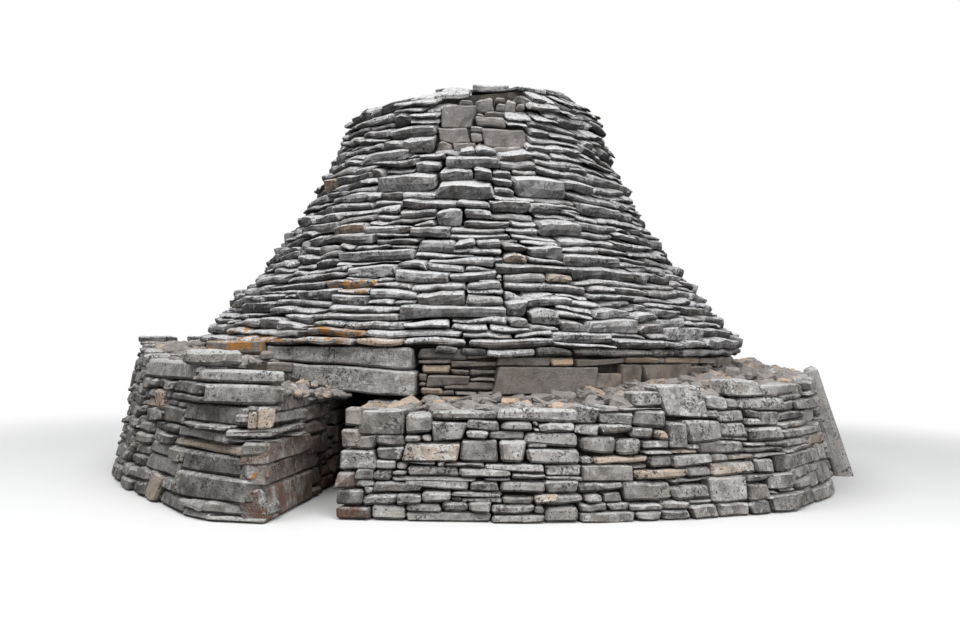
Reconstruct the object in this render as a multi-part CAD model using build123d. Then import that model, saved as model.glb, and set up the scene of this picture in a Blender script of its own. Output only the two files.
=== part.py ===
from build123d import *

import os
from math import asin, atan2, cos, degrees, radians, sin, tan

# A round field hut of dry-laid limestone: a thick drum wall with one low doorway, a corbelled vault
# under a stepped cone of flags, and a low battered ring wall round it that is filled behind as a
# terrace. A straight passage, open to the sky, cuts the terrace and runs through the drum wall.
# Millimetres, +Z up. The origin is the middle of the footprint at ground level, the passage runs
# along Y and is entered from -Y. An azimuth is counted from -Y towards +X.

# Setting out
drum_x = -150.0  # the drum's axis, left of the footprint's middle
sides = 24  # flat bays in one turn of a ring
joint = 2.0  # open joint between neighbouring bays
bay = 360.0 / sides

# Doorway and passage
passage_x = -860.0  # the passage's middle line, from the drum's axis
passage_width = 500.0
door_height = 960.0
reveal_left = passage_x - passage_width / 2
reveal_right = passage_x + passage_width / 2

# Drum wall and the projecting course that the roof starts on
drum_inner = 2050.0
drum_outer = 3170.0
drum_height = 1350.0
eave_thickness = 80.0
eave_projection = 100.0
springing = drum_height + eave_thickness
door_bay = (-45.0, 0.0)  # the stretch of drum that the doorway is built in

# Lintels
front_lintel_depth = 430.0
front_lintel_proud = 30.0  # in front of the drum's flat bays
front_lintel_right = 690.0  # how far the two front lintels run right of the passage's middle
lower_lintel_left = 680.0
upper_lintel_left = 840.0
lower_lintel_height = 250.0
back_lintel_height = 200.0
back_lintel_length = 1250.0
back_lintel_names = ["door_lintel_middle", "door_lintel_inner"]

# Roof: a cone of flag courses that flattens towards the eave
flag_course = 84.0
courses_per_tier = 5
tiers = 7
roof_top_radius = 1580.0
roof_spread = 1760.0  # how much wider the eave is than the top
roof_flare = 1.6
tread_fall = 7.0  # degrees that each flag sheds outwards
flag_length = 300.0  # the least run of a flag into the roof
tier_height = flag_course * courses_per_tier
roof_height = tier_height * tiers
roof_top = springing + roof_height
fallen_bays = {5: (0.0, 15.0), 6: (7.5, 22.5)}  # tier: azimuths of the bays that have come away
core_recess = 130.0  # how far the bared core lies behind the flags
core_steps = 2

# Corbelled vault
vault_radius = 1950.0
vault_rise = 2750.0  # where its curve would close
vault_power = 1.4
vault_tiers = 6
corbels_per_tier = 2

# Crown over the vault
closing_slab_across = 1000.0
closing_slab_sides = 8
closing_slab_thickness = 120.0
crown_slab_overhang = 20.0  # past the crown fill
crown_slab_thickness = 60.0
crown_slabs = 8
crown_slabs_lost = (1,)
slump_azimuth = 275.0  # the side on which the top tier and the crown have slumped
slump_run = 550.0  # how much of its radius the top has lost there

# Ring wall: azimuth, distance of its foot from the drum and height at each corner of its outline,
# once round from the passage's right side to its left side, where it swells into a bastion
ring_corners = [
    (-10.0, 1230.0, 900.0),
    (0.0, 1160.0, 900.0),
    (15.0, 1210.0, 920.0),
    (30.0, 1330.0, 1000.0),
    (45.0, 1480.0, 1080.0),
    (60.0, 1330.0, 1150.0),
    (75.0, 1070.0, 1180.0),
    (90.0, 1010.0, 1180.0),
    (120.0, 1180.0, 1250.0),
    (150.0, 1430.0, 1300.0),
    (180.0, 1480.0, 1350.0),
    (210.0, 1380.0, 1380.0),
    (240.0, 1130.0, 1420.0),
    (270.0, 1050.0, 1420.0),
    (285.0, 1050.0, 1420.0),
    (300.0, 1050.0, 1380.0),
    (315.0, 1180.0, 1300.0),
    (330.0, 1430.0, 1250.0),
    (339.0, 1790.0, 1250.0),
    (350.0, 1620.0, 1040.0),
]
ring_names = {
    0.0: "ring_wall_front",
    30.0: "ring_wall_front_right",
    60.0: "ring_wall_right",
    90.0: "ring_wall_back_right",
    150.0: "ring_wall_back",
    210.0: "ring_wall_back_left",
    270.0: "ring_wall_left",
    315.0: "entrance_bastion",
}  # the azimuth where each named stretch begins
fill_names = {
    0.0: "terrace_fill_front",
    60.0: "terrace_fill_right",
    150.0: "terrace_fill_back",
    240.0: "terrace_fill_left",
    315.0: "terrace_fill_bastion",
}
batter = 10.0  # degrees
facing_depth = 600.0  # the ring's facing, measured at the ground
fill_drop = 20.0  # the fill stands this much lower than the facing
fill_rise = 40.0  # and rises this much towards the drum
lintels_bared_from = 330.0  # the azimuth from which it falls instead, so that the lintels show
fall_to_lintels = 150.0
fill_under_eave = 50.0  # but stays this far under the projecting course

# Loose pieces that belong to the ruin
leaning_azimuth = 82.5
leaning_length = 1260.0
leaning_width = 420.0
leaning_thickness = 140.0
leaning_lean = 18.0  # degrees from upright
terrace_flags = [(247.0, 780.0), (256.0, 710.0), (277.0, 730.0)]  # azimuth, distance from the drum
terrace_flag_size = (520.0, 340.0, 70.0)
cap_boulder_azimuth = 335.0
cap_boulder_reach = 1210.0  # from the drum
cap_boulder_size = (560.0, 420.0, 150.0)
cap_boulder_chamfer = 45.0


def outward(azimuth):
    """The level direction from the axis at an azimuth."""
    return Vector(sin(radians(azimuth)), -cos(radians(azimuth)), 0)


def along(azimuth):
    """The level direction in which the azimuth grows."""
    return Vector(cos(radians(azimuth)), sin(radians(azimuth)), 0)


def trimmed(solid, *planes):
    """What lies on the side that every plane faces."""
    for plane in planes:
        solid = split(solid, bisect_by=plane, keep=Keep.TOP)
    return solid


def radial_plane(azimuth, side):
    """A plane through the axis, set back by half a joint and facing growing (1) or falling (-1) azimuth."""
    normal = along(azimuth) * side
    return Plane(origin=normal * (joint / 2), z_dir=normal)


def passage_plane(x, side):
    """The face of a passage wall at x, facing away from the passage."""
    return Plane(origin=(x, 0, 0), z_dir=(side, 0, 0))


def wedge(profile, span):
    """One bay of a ring at azimuth 0: its (radius, height) profile, mitred at both ends."""
    radius = max(r for r, _ in profile)
    section = Plane(origin=(0, 0, 0), x_dir=(0, -1, 0), z_dir=(-1, 0, 0)) * make_face(
        Polyline(*profile, close=True)
    )
    block = extrude(section, amount=radius * tan(radians(span / 2)), both=True)
    return trimmed(block, radial_plane(-span / 2, 1), radial_plane(span / 2, -1))


def ring(profile, azimuths, span=bay):
    """The same bay of a ring at several azimuths."""
    piece = wedge(profile, span)
    return [Rot(0, 0, azimuth) * piece for azimuth in azimuths]


def bay_middles(shifted=False):
    """The azimuths of a ring's bays. Every other course is shifted by half a bay to break the joints."""
    start = 0.0 if shifted else bay / 2
    return [start + bay * i for i in range(sides)]


def upright(points, bottom, top):
    """A prism over a plan."""
    plan = make_face(Polyline(*[(p.X, p.Y) for p in points], close=True))
    return Pos(0, 0, bottom) * extrude(plan, amount=top - bottom)


# Drum wall


def box_profile(inner, outer, bottom, top):
    return [(inner, bottom), (outer, bottom), (outer, top), (inner, top)]


def in_door_bay(azimuth):
    start, end = door_bay
    return start < (azimuth + 180) % 360 - 180 < end


def door_bay_block(bottom, top):
    """The drum wall's stretch beside the doorway, with the passage not yet cut."""
    start, end = door_bay
    corners = [start + bay * i for i in range(round((end - start) / bay) + 1)]
    to_corner = 1 / cos(radians(bay / 2))
    outer = [outward(a) * (drum_outer * to_corner) for a in corners]
    inner = [outward(a) * (drum_inner * to_corner) for a in reversed(corners)]
    block = upright(outer + inner, bottom, top)
    return trimmed(block, radial_plane(start, 1), radial_plane(end, -1))


def drum_wall():
    profile = box_profile(drum_inner, drum_outer, 0, drum_height)
    names = {"drum_wall_right": (0, 120), "drum_wall_back": (120, 225), "drum_wall_left": (225, 315)}
    for name, (start, end) in names.items():
        yield name, ring(profile, [a for a in bay_middles() if start < a < end])
    jambs = door_bay_block(0, door_height)
    yield "door_jamb_left", [trimmed(jambs, passage_plane(reveal_left, -1))]
    yield "door_jamb_right", [trimmed(jambs, passage_plane(reveal_right, 1))]


def eave_course():
    profile = box_profile(drum_inner, drum_outer + eave_projection, drum_height, springing)
    yield "eave_course", ring(profile, [a for a in bay_middles() if not in_door_bay(a)])


# Lintels, laid square to the drum at the doorway


lintel_azimuth = degrees(asin(passage_x / drum_outer))
lintel_face = drum_outer + front_lintel_proud


def passage_middle(distance):
    """How far the passage's middle line lies along a lintel that is this far from the axis."""
    return (passage_x - distance * outward(lintel_azimuth).X) / along(lintel_azimuth).X


def lintel(face, depth, left, right, bottom, height):
    """A long stone whose face is this far from the axis, reaching left and right of the passage."""
    middle = face - depth / 2
    centre = passage_middle(middle) + (right - left) / 2
    stone = Box(left + right, depth, height, align=(Align.CENTER, Align.CENTER, Align.MIN))
    return Rot(0, 0, lintel_azimuth) * (Pos(centre, -middle, bottom) * stone)


def front_lintels():
    """The two stones that show, one on the other."""
    lower_top = door_height + lower_lintel_height
    yield "door_lintel_lower", lintel(
        lintel_face, front_lintel_depth, lower_lintel_left, front_lintel_right,
        door_height, lower_lintel_height,
    )
    yield "door_lintel_upper", lintel(
        lintel_face, front_lintel_depth, upper_lintel_left, front_lintel_right,
        lower_top, springing - lower_top,
    )


def back_lintels():
    """The stones behind them, which carry the rest of the wall over the passage."""
    outer_face = lintel_face - front_lintel_depth
    depth = (outer_face - drum_inner) / len(back_lintel_names)
    for i, name in enumerate(back_lintel_names):
        yield name, lintel(
            outer_face - i * depth, depth, back_lintel_length / 2, back_lintel_length / 2,
            door_height, back_lintel_height,
        )


def doorway():
    stones = {**dict(front_lintels()), **dict(back_lintels())}
    for name, stone in stones.items():
        yield name, [stone]
    profile = box_profile(drum_inner, drum_outer, door_height, springing)
    masonry = ring(profile, [a for a in bay_middles() if in_door_bay(a)])
    yield "masonry_over_door", [block - list(stones.values()) for block in masonry]


# Roof


def roof_radius(height):
    """The cone's outline at a height: wide and flat at the eave, steep at the top."""
    share = (height - springing) / roof_height
    return roof_top_radius + roof_spread * (1 - share) ** roof_flare


def tier_base(tier):
    return springing + tier * tier_height


def flag_back(tier):
    """Where the flags of a tier end inside the roof."""
    return roof_radius(tier_base(tier + 1)) - flag_length


def stepped_profile(tier, steps, recess, fall):
    """A tier's section: one nose and one tread for each course."""
    base, rise = tier_base(tier), tier_height / steps
    points = [(flag_back(tier), base)]
    for i in range(steps):
        nose = roof_radius(base + i * rise) - recess
        next_nose = roof_radius(base + (i + 1) * rise) - recess
        shed = (nose - next_nose) * tan(radians(fall))
        points += [(nose, base + i * rise), (nose, base + (i + 1) * rise - shed)]
    points += [(next_nose, base + tier_height), (flag_back(tier), base + tier_height)]
    return points


def slump_plane():
    """The slope down to which one side has slumped, from the foot of the top tier to the top."""
    foot = tier_base(tiers - 1)
    low, high = roof_radius(foot), roof_top_radius - slump_run
    slope = atan2(roof_top - foot, low - high)
    out = outward(slump_azimuth)
    return Plane(
        origin=out * low + Vector(0, 0, foot), z_dir=-out * sin(slope) - Vector(0, 0, cos(slope))
    )


def roof_flags():
    for tier in range(tiers):
        lost = fallen_bays.get(tier, ())
        middles = [a for a in bay_middles(shifted=tier % 2 == 1) if a not in lost]
        flags = ring(stepped_profile(tier, courses_per_tier, 0, tread_fall), middles)
        if tier == tiers - 1:
            flags = [trimmed(piece, slump_plane()) for piece in flags]
        yield f"roof_flags_{tier + 1}", flags


def bared_core():
    """The rougher masonry that shows where flags have come away."""
    for tier, lost in fallen_bays.items():
        profile = stepped_profile(tier, core_steps, core_recess, tread_fall)
        yield f"bared_core_{tier + 1}", ring(profile, lost)


# Vault and crown


def vault_inner(height):
    return vault_radius * (1 - ((height - springing) / vault_rise) ** vault_power)


def vault_rings():
    """Each tier of the vault is corbelled: its courses step in over the one below."""
    corbel = tier_height / corbels_per_tier
    for tier in range(vault_tiers):
        base, back = tier_base(tier), flag_back(tier)
        profile = [(back, base + tier_height), (back, base)]
        for i in range(corbels_per_tier):
            face = vault_inner(base + (i + 0.5) * corbel)
            profile += [(face, base + i * corbel), (face, base + (i + 1) * corbel)]
        yield f"vault_ring_{tier + 1}", ring(profile, bay_middles(shifted=tier % 2 == 1))


def crown():
    bed, edge = tier_base(vault_tiers), flag_back(vault_tiers)
    fill_base = bed + closing_slab_thickness
    slab_plan = RegularPolygon(closing_slab_across / 2, closing_slab_sides, major_radius=False)
    yield "closing_slab", [Pos(0, 0, bed) * extrude(slab_plan, amount=closing_slab_thickness)]
    slab_corner = closing_slab_across / 2 / cos(radians(180 / closing_slab_sides))
    collar = box_profile(slab_corner + joint, edge, bed, fill_base)
    yield "crown_collar", ring(collar, bay_middles())
    fill_plan = RegularPolygon(edge, sides, major_radius=False)
    fill = Pos(0, 0, fill_base) * extrude(fill_plan, amount=roof_top - fill_base)
    yield "crown_fill", [trimmed(fill, slump_plane())]
    span = 360 / crown_slabs
    slabs = box_profile(0, edge + crown_slab_overhang, roof_top, roof_top + crown_slab_thickness)
    kept = [span * i for i in range(crown_slabs) if i not in crown_slabs_lost]
    yield "crown_slabs", [trimmed(slab, slump_plane()) for slab in ring(slabs, kept, span)]


# Ring wall and terrace


def drum_edge(azimuth):
    """The drum's outer face at an azimuth, on its flat bays."""
    off_middle = azimuth % bay - bay / 2
    return drum_outer / cos(radians(off_middle))


class Stretch:
    """The ring wall between two corners of its outline."""

    def __init__(self, start, end):
        self.azimuths = (start[0], end[0])
        self.heights = (start[2], end[2])
        self.feet = tuple(outward(c[0]) * (drum_outer + c[1]) for c in (start, end))
        run = (self.feet[1] - self.feet[0]).normalized()
        self.inward = Vector(-run.Y, run.X, 0)

    def line_at(self, azimuth, depth):
        """The point at an azimuth on the line that runs this deep behind the foot of the wall."""
        d = outward(azimuth)
        return d * ((depth + self.feet[0].dot(self.inward)) / d.dot(self.inward))

    def height_at(self, azimuth):
        (start, end), (low, high) = self.azimuths, self.heights
        return low + (high - low) * (azimuth - start) / (end - start)

    def batter_plane(self):
        tilt = radians(batter)
        return Plane(origin=self.feet[0], z_dir=self.inward * cos(tilt) - Vector(0, 0, sin(tilt)))

    def prism(self, start, end, outer_depth, inner_points, outer_top, inner_top):
        """Masonry between two azimuths with a battered face and a plane top through four heights."""
        outer = [self.line_at(a, outer_depth) for a in (start, end)]
        tops = [outer_top(a) for a in (start, end)]
        block = upright(outer + inner_points, 0, max(tops + [inner_top]) + tier_height)
        a, b = (p + Vector(0, 0, z) for p, z in zip(outer, tops))
        c = (inner_points[0] + inner_points[-1]) * 0.5 + Vector(0, 0, inner_top)
        down = (b - a).cross(c - a).normalized()
        down = down if down.Z < 0 else -down
        top = Plane(origin=a, z_dir=down)
        ends = radial_plane(start, 1), radial_plane(end, -1)
        return trimmed(block, *ends, self.batter_plane(), top)

    def facing(self):
        start, end = self.azimuths
        inner = [self.line_at(a, facing_depth) for a in (end, start)]
        return self.prism(start, end, 0, inner, self.height_at, sum(self.heights) / 2)

    def behind(self, start, end, depth=facing_depth, drop=fill_drop):
        """Masonry from this deep behind the wall's foot up to the drum, between two azimuths."""
        corners = [a for a in bay_edges() if start < a < end]
        inner = [outward(a) * drum_edge(a) for a in (end, *reversed(corners), start)]
        outer_top = lambda azimuth: self.height_at(azimuth) - drop
        highest = drum_height - fill_under_eave
        rise = -fall_to_lintels if start >= lintels_bared_from else fill_rise
        inner_top = min(outer_top((start + end) / 2) + rise, highest)
        return self.prism(start, end, depth, inner, outer_top, inner_top)

    def fill(self):
        """The terrace fill behind the facing, one piece for each flat bay of the drum."""
        start, end = self.azimuths
        cuts = [start] + [a for a in bay_edges() if start < a < end] + [end]
        return [self.behind(a, b) for a, b in zip(cuts, cuts[1:])]


def bay_edges():
    return [bay * i for i in range(sides)]


def stretch_name(names, azimuth):
    return names[max(start for start in names if start <= azimuth)]


def ring_and_terrace():
    stretches = [Stretch(a, b) for a, b in zip(ring_corners, ring_corners[1:])]
    right, *middle, left = stretches
    lower, upper = (stone for _, stone in front_lintels())
    passage_right = right.behind(*right.azimuths, depth=0, drop=0)
    yield "passage_wall_right", [trimmed(passage_right, passage_plane(reveal_right, 1))]
    passage_left = left.behind(*left.azimuths, depth=0, drop=0)
    yield "passage_wall_left", [trimmed(passage_left, passage_plane(reveal_left, -1)) - lower - upper]
    nodes = {}
    for stretch in middle:
        start = stretch.azimuths[0]
        nodes.setdefault(stretch_name(ring_names, start), []).append(stretch.facing())
        fill = stretch.fill()
        if start >= 360 + door_bay[0]:
            fill = [piece - lower - upper for piece in fill]
        nodes.setdefault(stretch_name(fill_names, start), []).extend(fill)
    yield from nodes.items()


# Loose pieces


def corner_at(azimuth):
    return next(c for c in reversed(ring_corners) if c[0] <= azimuth)


def leaning_slab():
    """A long slab stood on the ground against the top edge of the ring wall."""
    index = ring_corners.index(corner_at(leaning_azimuth))
    stretch = Stretch(*ring_corners[index : index + 2])
    top = stretch.heights[0]
    edge_depth = top * tan(radians(batter))
    foot_out = top * tan(radians(leaning_lean)) - edge_depth
    foot = stretch.line_at(leaning_azimuth, -foot_out)
    lean = radians(leaning_lean)
    up = stretch.inward * sin(lean) + Vector(0, 0, cos(lean))
    normal = up.cross(stretch.inward.cross(Vector(0, 0, 1)).normalized())
    away = normal if normal.dot(stretch.inward) < 0 else -normal
    face = Plane(origin=foot, x_dir=up, z_dir=away)
    below = leaning_thickness * tan(lean)
    plan = Pos((leaning_length - below) / 2, 0) * Rectangle(leaning_length + below, leaning_width)
    slab = extrude(face * plan, amount=leaning_thickness)
    yield "leaning_slab", [trimmed(slab, Plane.XY)]


def loose_stones():
    length, width, thickness = terrace_flag_size
    flag = Box(length, width, thickness, align=(Align.CENTER, Align.CENTER, Align.MIN))
    pieces = []
    for azimuth, reach in terrace_flags:
        height = corner_at(azimuth)[2]
        pieces.append(Rot(0, 0, azimuth) * (Pos(0, -drum_outer - reach, height) * flag))
    yield "terrace_flags", pieces
    boulder = Box(*cap_boulder_size, align=(Align.CENTER, Align.CENTER, Align.MIN))
    boulder = chamfer(boulder.edges().group_by(Axis.Z)[-1], cap_boulder_chamfer)
    height = corner_at(cap_boulder_azimuth)[2]
    place = Pos(0, -drum_outer - cap_boulder_reach, height)
    yield "cap_boulder", [Rot(0, 0, cap_boulder_azimuth) * (place * boulder)]


def hut():
    for group in (
        drum_wall, eave_course, doorway, roof_flags, bared_core, vault_rings, crown,
        ring_and_terrace, leaning_slab, loose_stones,
    ):
        yield from group()


os.makedirs("parts", exist_ok=True)
for name, pieces in hut():
    solids = [solid for piece in pieces for solid in piece.solids()]
    export_step(Pos(drum_x, 0, 0) * Compound(solids), f"parts/{name}.step")
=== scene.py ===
import bmesh
import bpy
import random
from dataclasses import dataclass
from math import asin, atan2, cos, degrees, exp, hypot, pi, radians, sin, tan

import numpy as np
from mathutils import Matrix, Vector, noise


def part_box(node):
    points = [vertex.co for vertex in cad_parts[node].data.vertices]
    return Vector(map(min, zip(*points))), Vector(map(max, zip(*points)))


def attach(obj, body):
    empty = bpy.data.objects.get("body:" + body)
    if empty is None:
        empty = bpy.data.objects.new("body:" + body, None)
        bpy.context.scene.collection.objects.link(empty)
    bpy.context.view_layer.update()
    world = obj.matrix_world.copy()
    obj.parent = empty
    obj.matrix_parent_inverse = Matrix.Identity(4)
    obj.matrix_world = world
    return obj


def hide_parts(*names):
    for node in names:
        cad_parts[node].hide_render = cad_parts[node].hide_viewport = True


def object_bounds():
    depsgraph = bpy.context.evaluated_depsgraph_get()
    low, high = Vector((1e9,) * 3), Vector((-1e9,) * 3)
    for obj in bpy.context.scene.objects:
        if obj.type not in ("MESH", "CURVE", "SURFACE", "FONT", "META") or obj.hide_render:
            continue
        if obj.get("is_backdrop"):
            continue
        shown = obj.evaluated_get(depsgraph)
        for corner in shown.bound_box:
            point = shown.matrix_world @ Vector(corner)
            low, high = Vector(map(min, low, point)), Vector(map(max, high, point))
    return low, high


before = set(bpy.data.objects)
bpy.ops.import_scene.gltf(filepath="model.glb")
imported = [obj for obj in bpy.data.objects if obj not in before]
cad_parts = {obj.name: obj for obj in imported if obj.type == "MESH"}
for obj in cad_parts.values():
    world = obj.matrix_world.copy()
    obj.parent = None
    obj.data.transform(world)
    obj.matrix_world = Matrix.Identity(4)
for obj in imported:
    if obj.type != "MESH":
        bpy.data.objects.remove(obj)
cad_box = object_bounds()

# Dry stone field hut. Every stone that shows is laid here, in front of or on plain hearts that
# stand where the part's solids are. Metres, in the part's own frame. Azimuths are degrees from -Y
# towards +X, counted at the drum's axis.

# Setting out, the same values as the part's
AXIS_X = sum(corner[0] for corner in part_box("closing_slab")) / 2
BAY = 15.0
PASSAGE_X = -0.86
PASSAGE_WIDTH = 0.50
REVEAL_LEFT = PASSAGE_X - PASSAGE_WIDTH / 2
REVEAL_RIGHT = PASSAGE_X + PASSAGE_WIDTH / 2
DOOR_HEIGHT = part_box("door_lintel_lower")[0][2]
DRUM_INNER = 2.05
DRUM_OUTER = 3.17
DRUM_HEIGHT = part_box("eave_course")[0][2]
EAVE_PROJECTION = 0.10
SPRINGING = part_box("eave_course")[1][2]
DOOR_BAY = (-45.0, 0.0)
ROOF_TOP_RADIUS = 1.58
ROOF_SPREAD = 1.76
ROOF_FLARE = 1.6
ROOF_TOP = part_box("roof_flags_7")[1][2]
FLAG_COURSE = 0.084
FLAG_RUN = 0.30
TIERS = 7
TIER_HEIGHT = (ROOF_TOP - SPRINGING) / TIERS
BATTER = tan(radians(10.0))
RING_OUTLINE = [
    (-10.0, 1.23, 0.90), (0.0, 1.16, 0.90), (15.0, 1.21, 0.92), (30.0, 1.33, 1.00),
    (45.0, 1.48, 1.08), (60.0, 1.33, 1.15), (75.0, 1.07, 1.18), (90.0, 1.01, 1.18),
    (120.0, 1.18, 1.25), (150.0, 1.43, 1.30), (180.0, 1.48, 1.35), (210.0, 1.38, 1.38),
    (240.0, 1.13, 1.42), (270.0, 1.05, 1.42), (285.0, 1.05, 1.42), (300.0, 1.05, 1.38),
    (315.0, 1.18, 1.30), (330.0, 1.43, 1.25), (339.0, 1.79, 1.25), (350.0, 1.62, 1.04),
]  # azimuth, distance from the drum, height
RING_NAMES = {
    -10.0: "passage_wall_right", 0.0: "ring_wall_front", 30.0: "ring_wall_front_right",
    60.0: "ring_wall_right", 90.0: "ring_wall_back_right", 150.0: "ring_wall_back",
    210.0: "ring_wall_back_left", 270.0: "ring_wall_left", 315.0: "entrance_bastion",
    339.0: "passage_wall_left",
}
FACING_DEPTH = 0.60

# The camera stands where the photograph was taken from
CAMERA_PLACE = Vector((1.152, -12.483, 1.53))
CAMERA_TURN = 5.5  # degrees of azimuth between the camera's place and -Y
CAMERA_PITCH = 1.03
CAMERA_ROLL = 0.7
LENS_FOR_36_MM = 37.5
CAMERA_FRAME = (
    Matrix.Rotation(radians(CAMERA_TURN), 4, "Z")
    @ Matrix.Rotation(radians(90 + CAMERA_PITCH), 4, "X")
    @ Matrix.Rotation(radians(CAMERA_ROLL), 4, "Z")
)
PHOTO_WIDTH, PHOTO_HEIGHT = 960, 638
PIXELS_FOR_ONE = PHOTO_WIDTH * LENS_FOR_36_MM / 36.0

# Stones that the photograph shows plainly: the left, top, right and bottom edge of each in the
# photograph's own pixels, and its finish where that stands out
BASTION_BLOCKS = [
    (197, 370, 286, 385, "pale"), (202, 385, 285, 406, "dark"), (175, 381, 202, 392),
    (169, 393, 202, 405), (180, 406, 246, 428, "dark"), (246, 412, 257, 430, "fresh"),
    (257, 407, 276, 430, "cream"), (161, 406, 180, 424), (174, 430, 222, 442), (223, 430, 276, 442),
    (168, 443, 239, 455, "cream"), (240, 443, 278, 456), (177, 456, 241, 477),
    (241, 456, 274, 480, "red"), (143, 456, 176, 474), (171, 478, 241, 505, "dark"),
    (241, 482, 273, 505), (201, 505, 270, 517), (205, 518, 262, 529), (285, 391, 309, 411, "dark"),
    (277, 411, 306, 424), (276, 425, 306, 436), (277, 437, 312, 455, "red"),
    (274, 457, 320, 478, "dark"), (273, 479, 314, 520, "pale"), (309, 404, 331, 419, "dark"),
    (306, 420, 331, 433, "red"), (312, 435, 331, 455, "red"), (314, 484, 331, 506, "red"),
    (146, 360, 196, 380, "pale"),
]
FRONT_BLOCKS = [
    (334, 413, 403, 432, "pale"), (333, 433, 402, 461), (404, 414, 430, 434),
    (433, 422, 466, 440, "dark"), (404, 436, 420, 443), (402, 443, 459, 461, "spotted"),
    (460, 440, 498, 463), (500, 440, 526, 463, "pale"), (527, 442, 549, 448),
    (464, 431, 488, 439, "pale"), (489, 432, 523, 439), (500, 422, 533, 432),
    (498, 409, 578, 421, "pale"), (403, 461, 436, 466), (444, 463, 484, 468, "dark"),
    (486, 464, 545, 472, "pale"), (374, 461, 394, 469, "pale"), (395, 463, 406, 471),
    (408, 467, 456, 479, "spotted"), (460, 469, 510, 480), (512, 474, 548, 481),
    (403, 480, 468, 491, "pale"), (372, 470, 391, 481), (372, 482, 421, 495, "dark"),
    (471, 482, 498, 494), (500, 482, 546, 496), (422, 492, 450, 502, "pale"), (451, 492, 501, 500),
    (396, 495, 421, 506), (468, 502, 490, 514), (493, 505, 532, 516), (505, 497, 534, 505),
    (536, 494, 560, 507, "cream"), (527, 449, 581, 464), (526, 433, 580, 447), (540, 423, 574, 433),
    (581, 437, 618, 457), (576, 424, 600, 436, "pale"), (601, 424, 631, 436),
    (600, 413, 636, 424, "spotted"), (632, 427, 656, 440), (637, 410, 664, 427, "dark"),
    (634, 391, 664, 409, "spotted"), (665, 385, 709, 420, "spotted"), (671, 422, 687, 449, "dark"),
    (688, 420, 723, 444, "dark"), (657, 430, 670, 441, "cream"), (620, 439, 644, 454),
    (646, 441, 672, 449), (642, 450, 672, 455), (594, 456, 650, 464), (650, 456, 675, 467),
    (676, 455, 714, 465), (676, 450, 699, 454, "cream"), (546, 466, 582, 479), (584, 465, 633, 480),
    (635, 469, 688, 481, "cream"), (689, 467, 714, 477), (681, 478, 710, 484), (546, 480, 578, 493),
    (579, 482, 624, 491), (625, 482, 673, 503), (674, 485, 713, 502), (546, 494, 584, 507),
    (585, 493, 603, 505), (604, 492, 624, 503), (609, 504, 630, 512), (631, 504, 664, 511, "pale"),
    (724, 423, 750, 439), (751, 427, 779, 442), (780, 428, 816, 437), (781, 438, 808, 447),
    (742, 398, 786, 410, "pale"), (796, 398, 819, 410), (763, 411, 781, 426, "dark"),
    (782, 411, 803, 421), (730, 379, 763, 398, "spotted"), (762, 384, 800, 396, "pale"),
    (703, 441, 746, 453), (747, 447, 780, 453), (715, 454, 730, 461), (731, 455, 757, 461),
    (715, 462, 757, 475), (758, 459, 776, 472), (777, 455, 790, 471), (791, 451, 811, 467, "dark"),
    (715, 476, 749, 503, "pale"), (750, 474, 770, 483), (771, 474, 792, 489), (750, 484, 770, 497),
]
DRUM_BLOCKS = [
    (418, 348, 466, 360, "pale"), (467, 348, 497, 359, "pale"), (497, 367, 597, 395, "slab"),
    (420, 364, 450, 374), (450, 361, 497, 369), (426, 375, 469, 386), (470, 370, 495, 379),
    (442, 382, 495, 390), (420, 388, 442, 394, "cream"), (454, 391, 477, 396), (478, 391, 496, 396),
    (420, 396, 466, 407), (467, 397, 493, 408), (499, 357, 551, 366, "dark"),
    (552, 357, 576, 366, "gold"), (577, 359, 624, 371), (497, 396, 538, 403, "red"),
    (599, 373, 624, 390, "pink"), (625, 364, 645, 387, "pink"), (646, 364, 690, 386, "pink"),
    (692, 365, 711, 386, "pink"), (628, 357, 660, 363, "cream"), (668, 357, 700, 363, "cream"),
]
BESIDE_LINTELS = [
    (206, 341, 261, 354, "spotted"), (222, 355, 259, 362, ""), (242, 362, 292, 372, "dark"),
]
CROWN_BLOCKS = [
    (441, 105, 475, 126), (433, 127, 470, 141), (400, 139, 434, 156, "pink"), (483, 129, 532, 146),
    (437, 183, 494, 201, "pale"), (444, 157, 500, 170, "pale"), (379, 174, 436, 192, "pale"),
    (514, 178, 563, 200, "pale"), (363, 151, 404, 163, "pale"), (503, 254, 529, 263, "cream"),
    (538, 221, 580, 238), (435, 209, 463, 228, "pale"), (548, 275, 572, 284, "cream"),
    (529, 205, 560, 216), (564, 256, 619, 268),
]

HEART_RECESS = 0.11  # how deep the plain hearts lie behind the faces of the stones
VAULT_COURSES = 4  # in each of the vault's rings
STONE_GAP = 0.0075  # half the open joint round a laid stone
NARROWEST = 0.045  # a slot narrower than this stays open
THINNEST_SEEN = 0.02  # a listed stone that is seen thinner is left out
CORNER_PULL = 0.10  # a listed stone that ends this near to a sharp corner ends on it


def polar(azimuth, radius, height=0.0):
    """A point at an azimuth and radius from the drum's axis."""
    turn = radians(azimuth)
    return np.array((AXIS_X + radius * sin(turn), -radius * cos(turn), height))


def roof_radius(height):
    """The cone's outline at a height: wide and flat at the eave, steep at the top."""
    share = min(max((height - SPRINGING) / (ROOF_TOP - SPRINGING), 0.0), 1.0)
    return ROOF_TOP_RADIUS + ROOF_SPREAD * (1 - share) ** ROOF_FLARE


def wrapped(azimuth, least=-180.0):
    """The same azimuth in the full turn that starts at the least one."""
    return (azimuth - least) % 360.0 + least


def wander(x, y=0.0, seed=0.0):
    """A smooth value between about -1 and 1 that wanders over x and y."""
    return noise.noise(Vector((x, y, seed * 17.31)))


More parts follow.
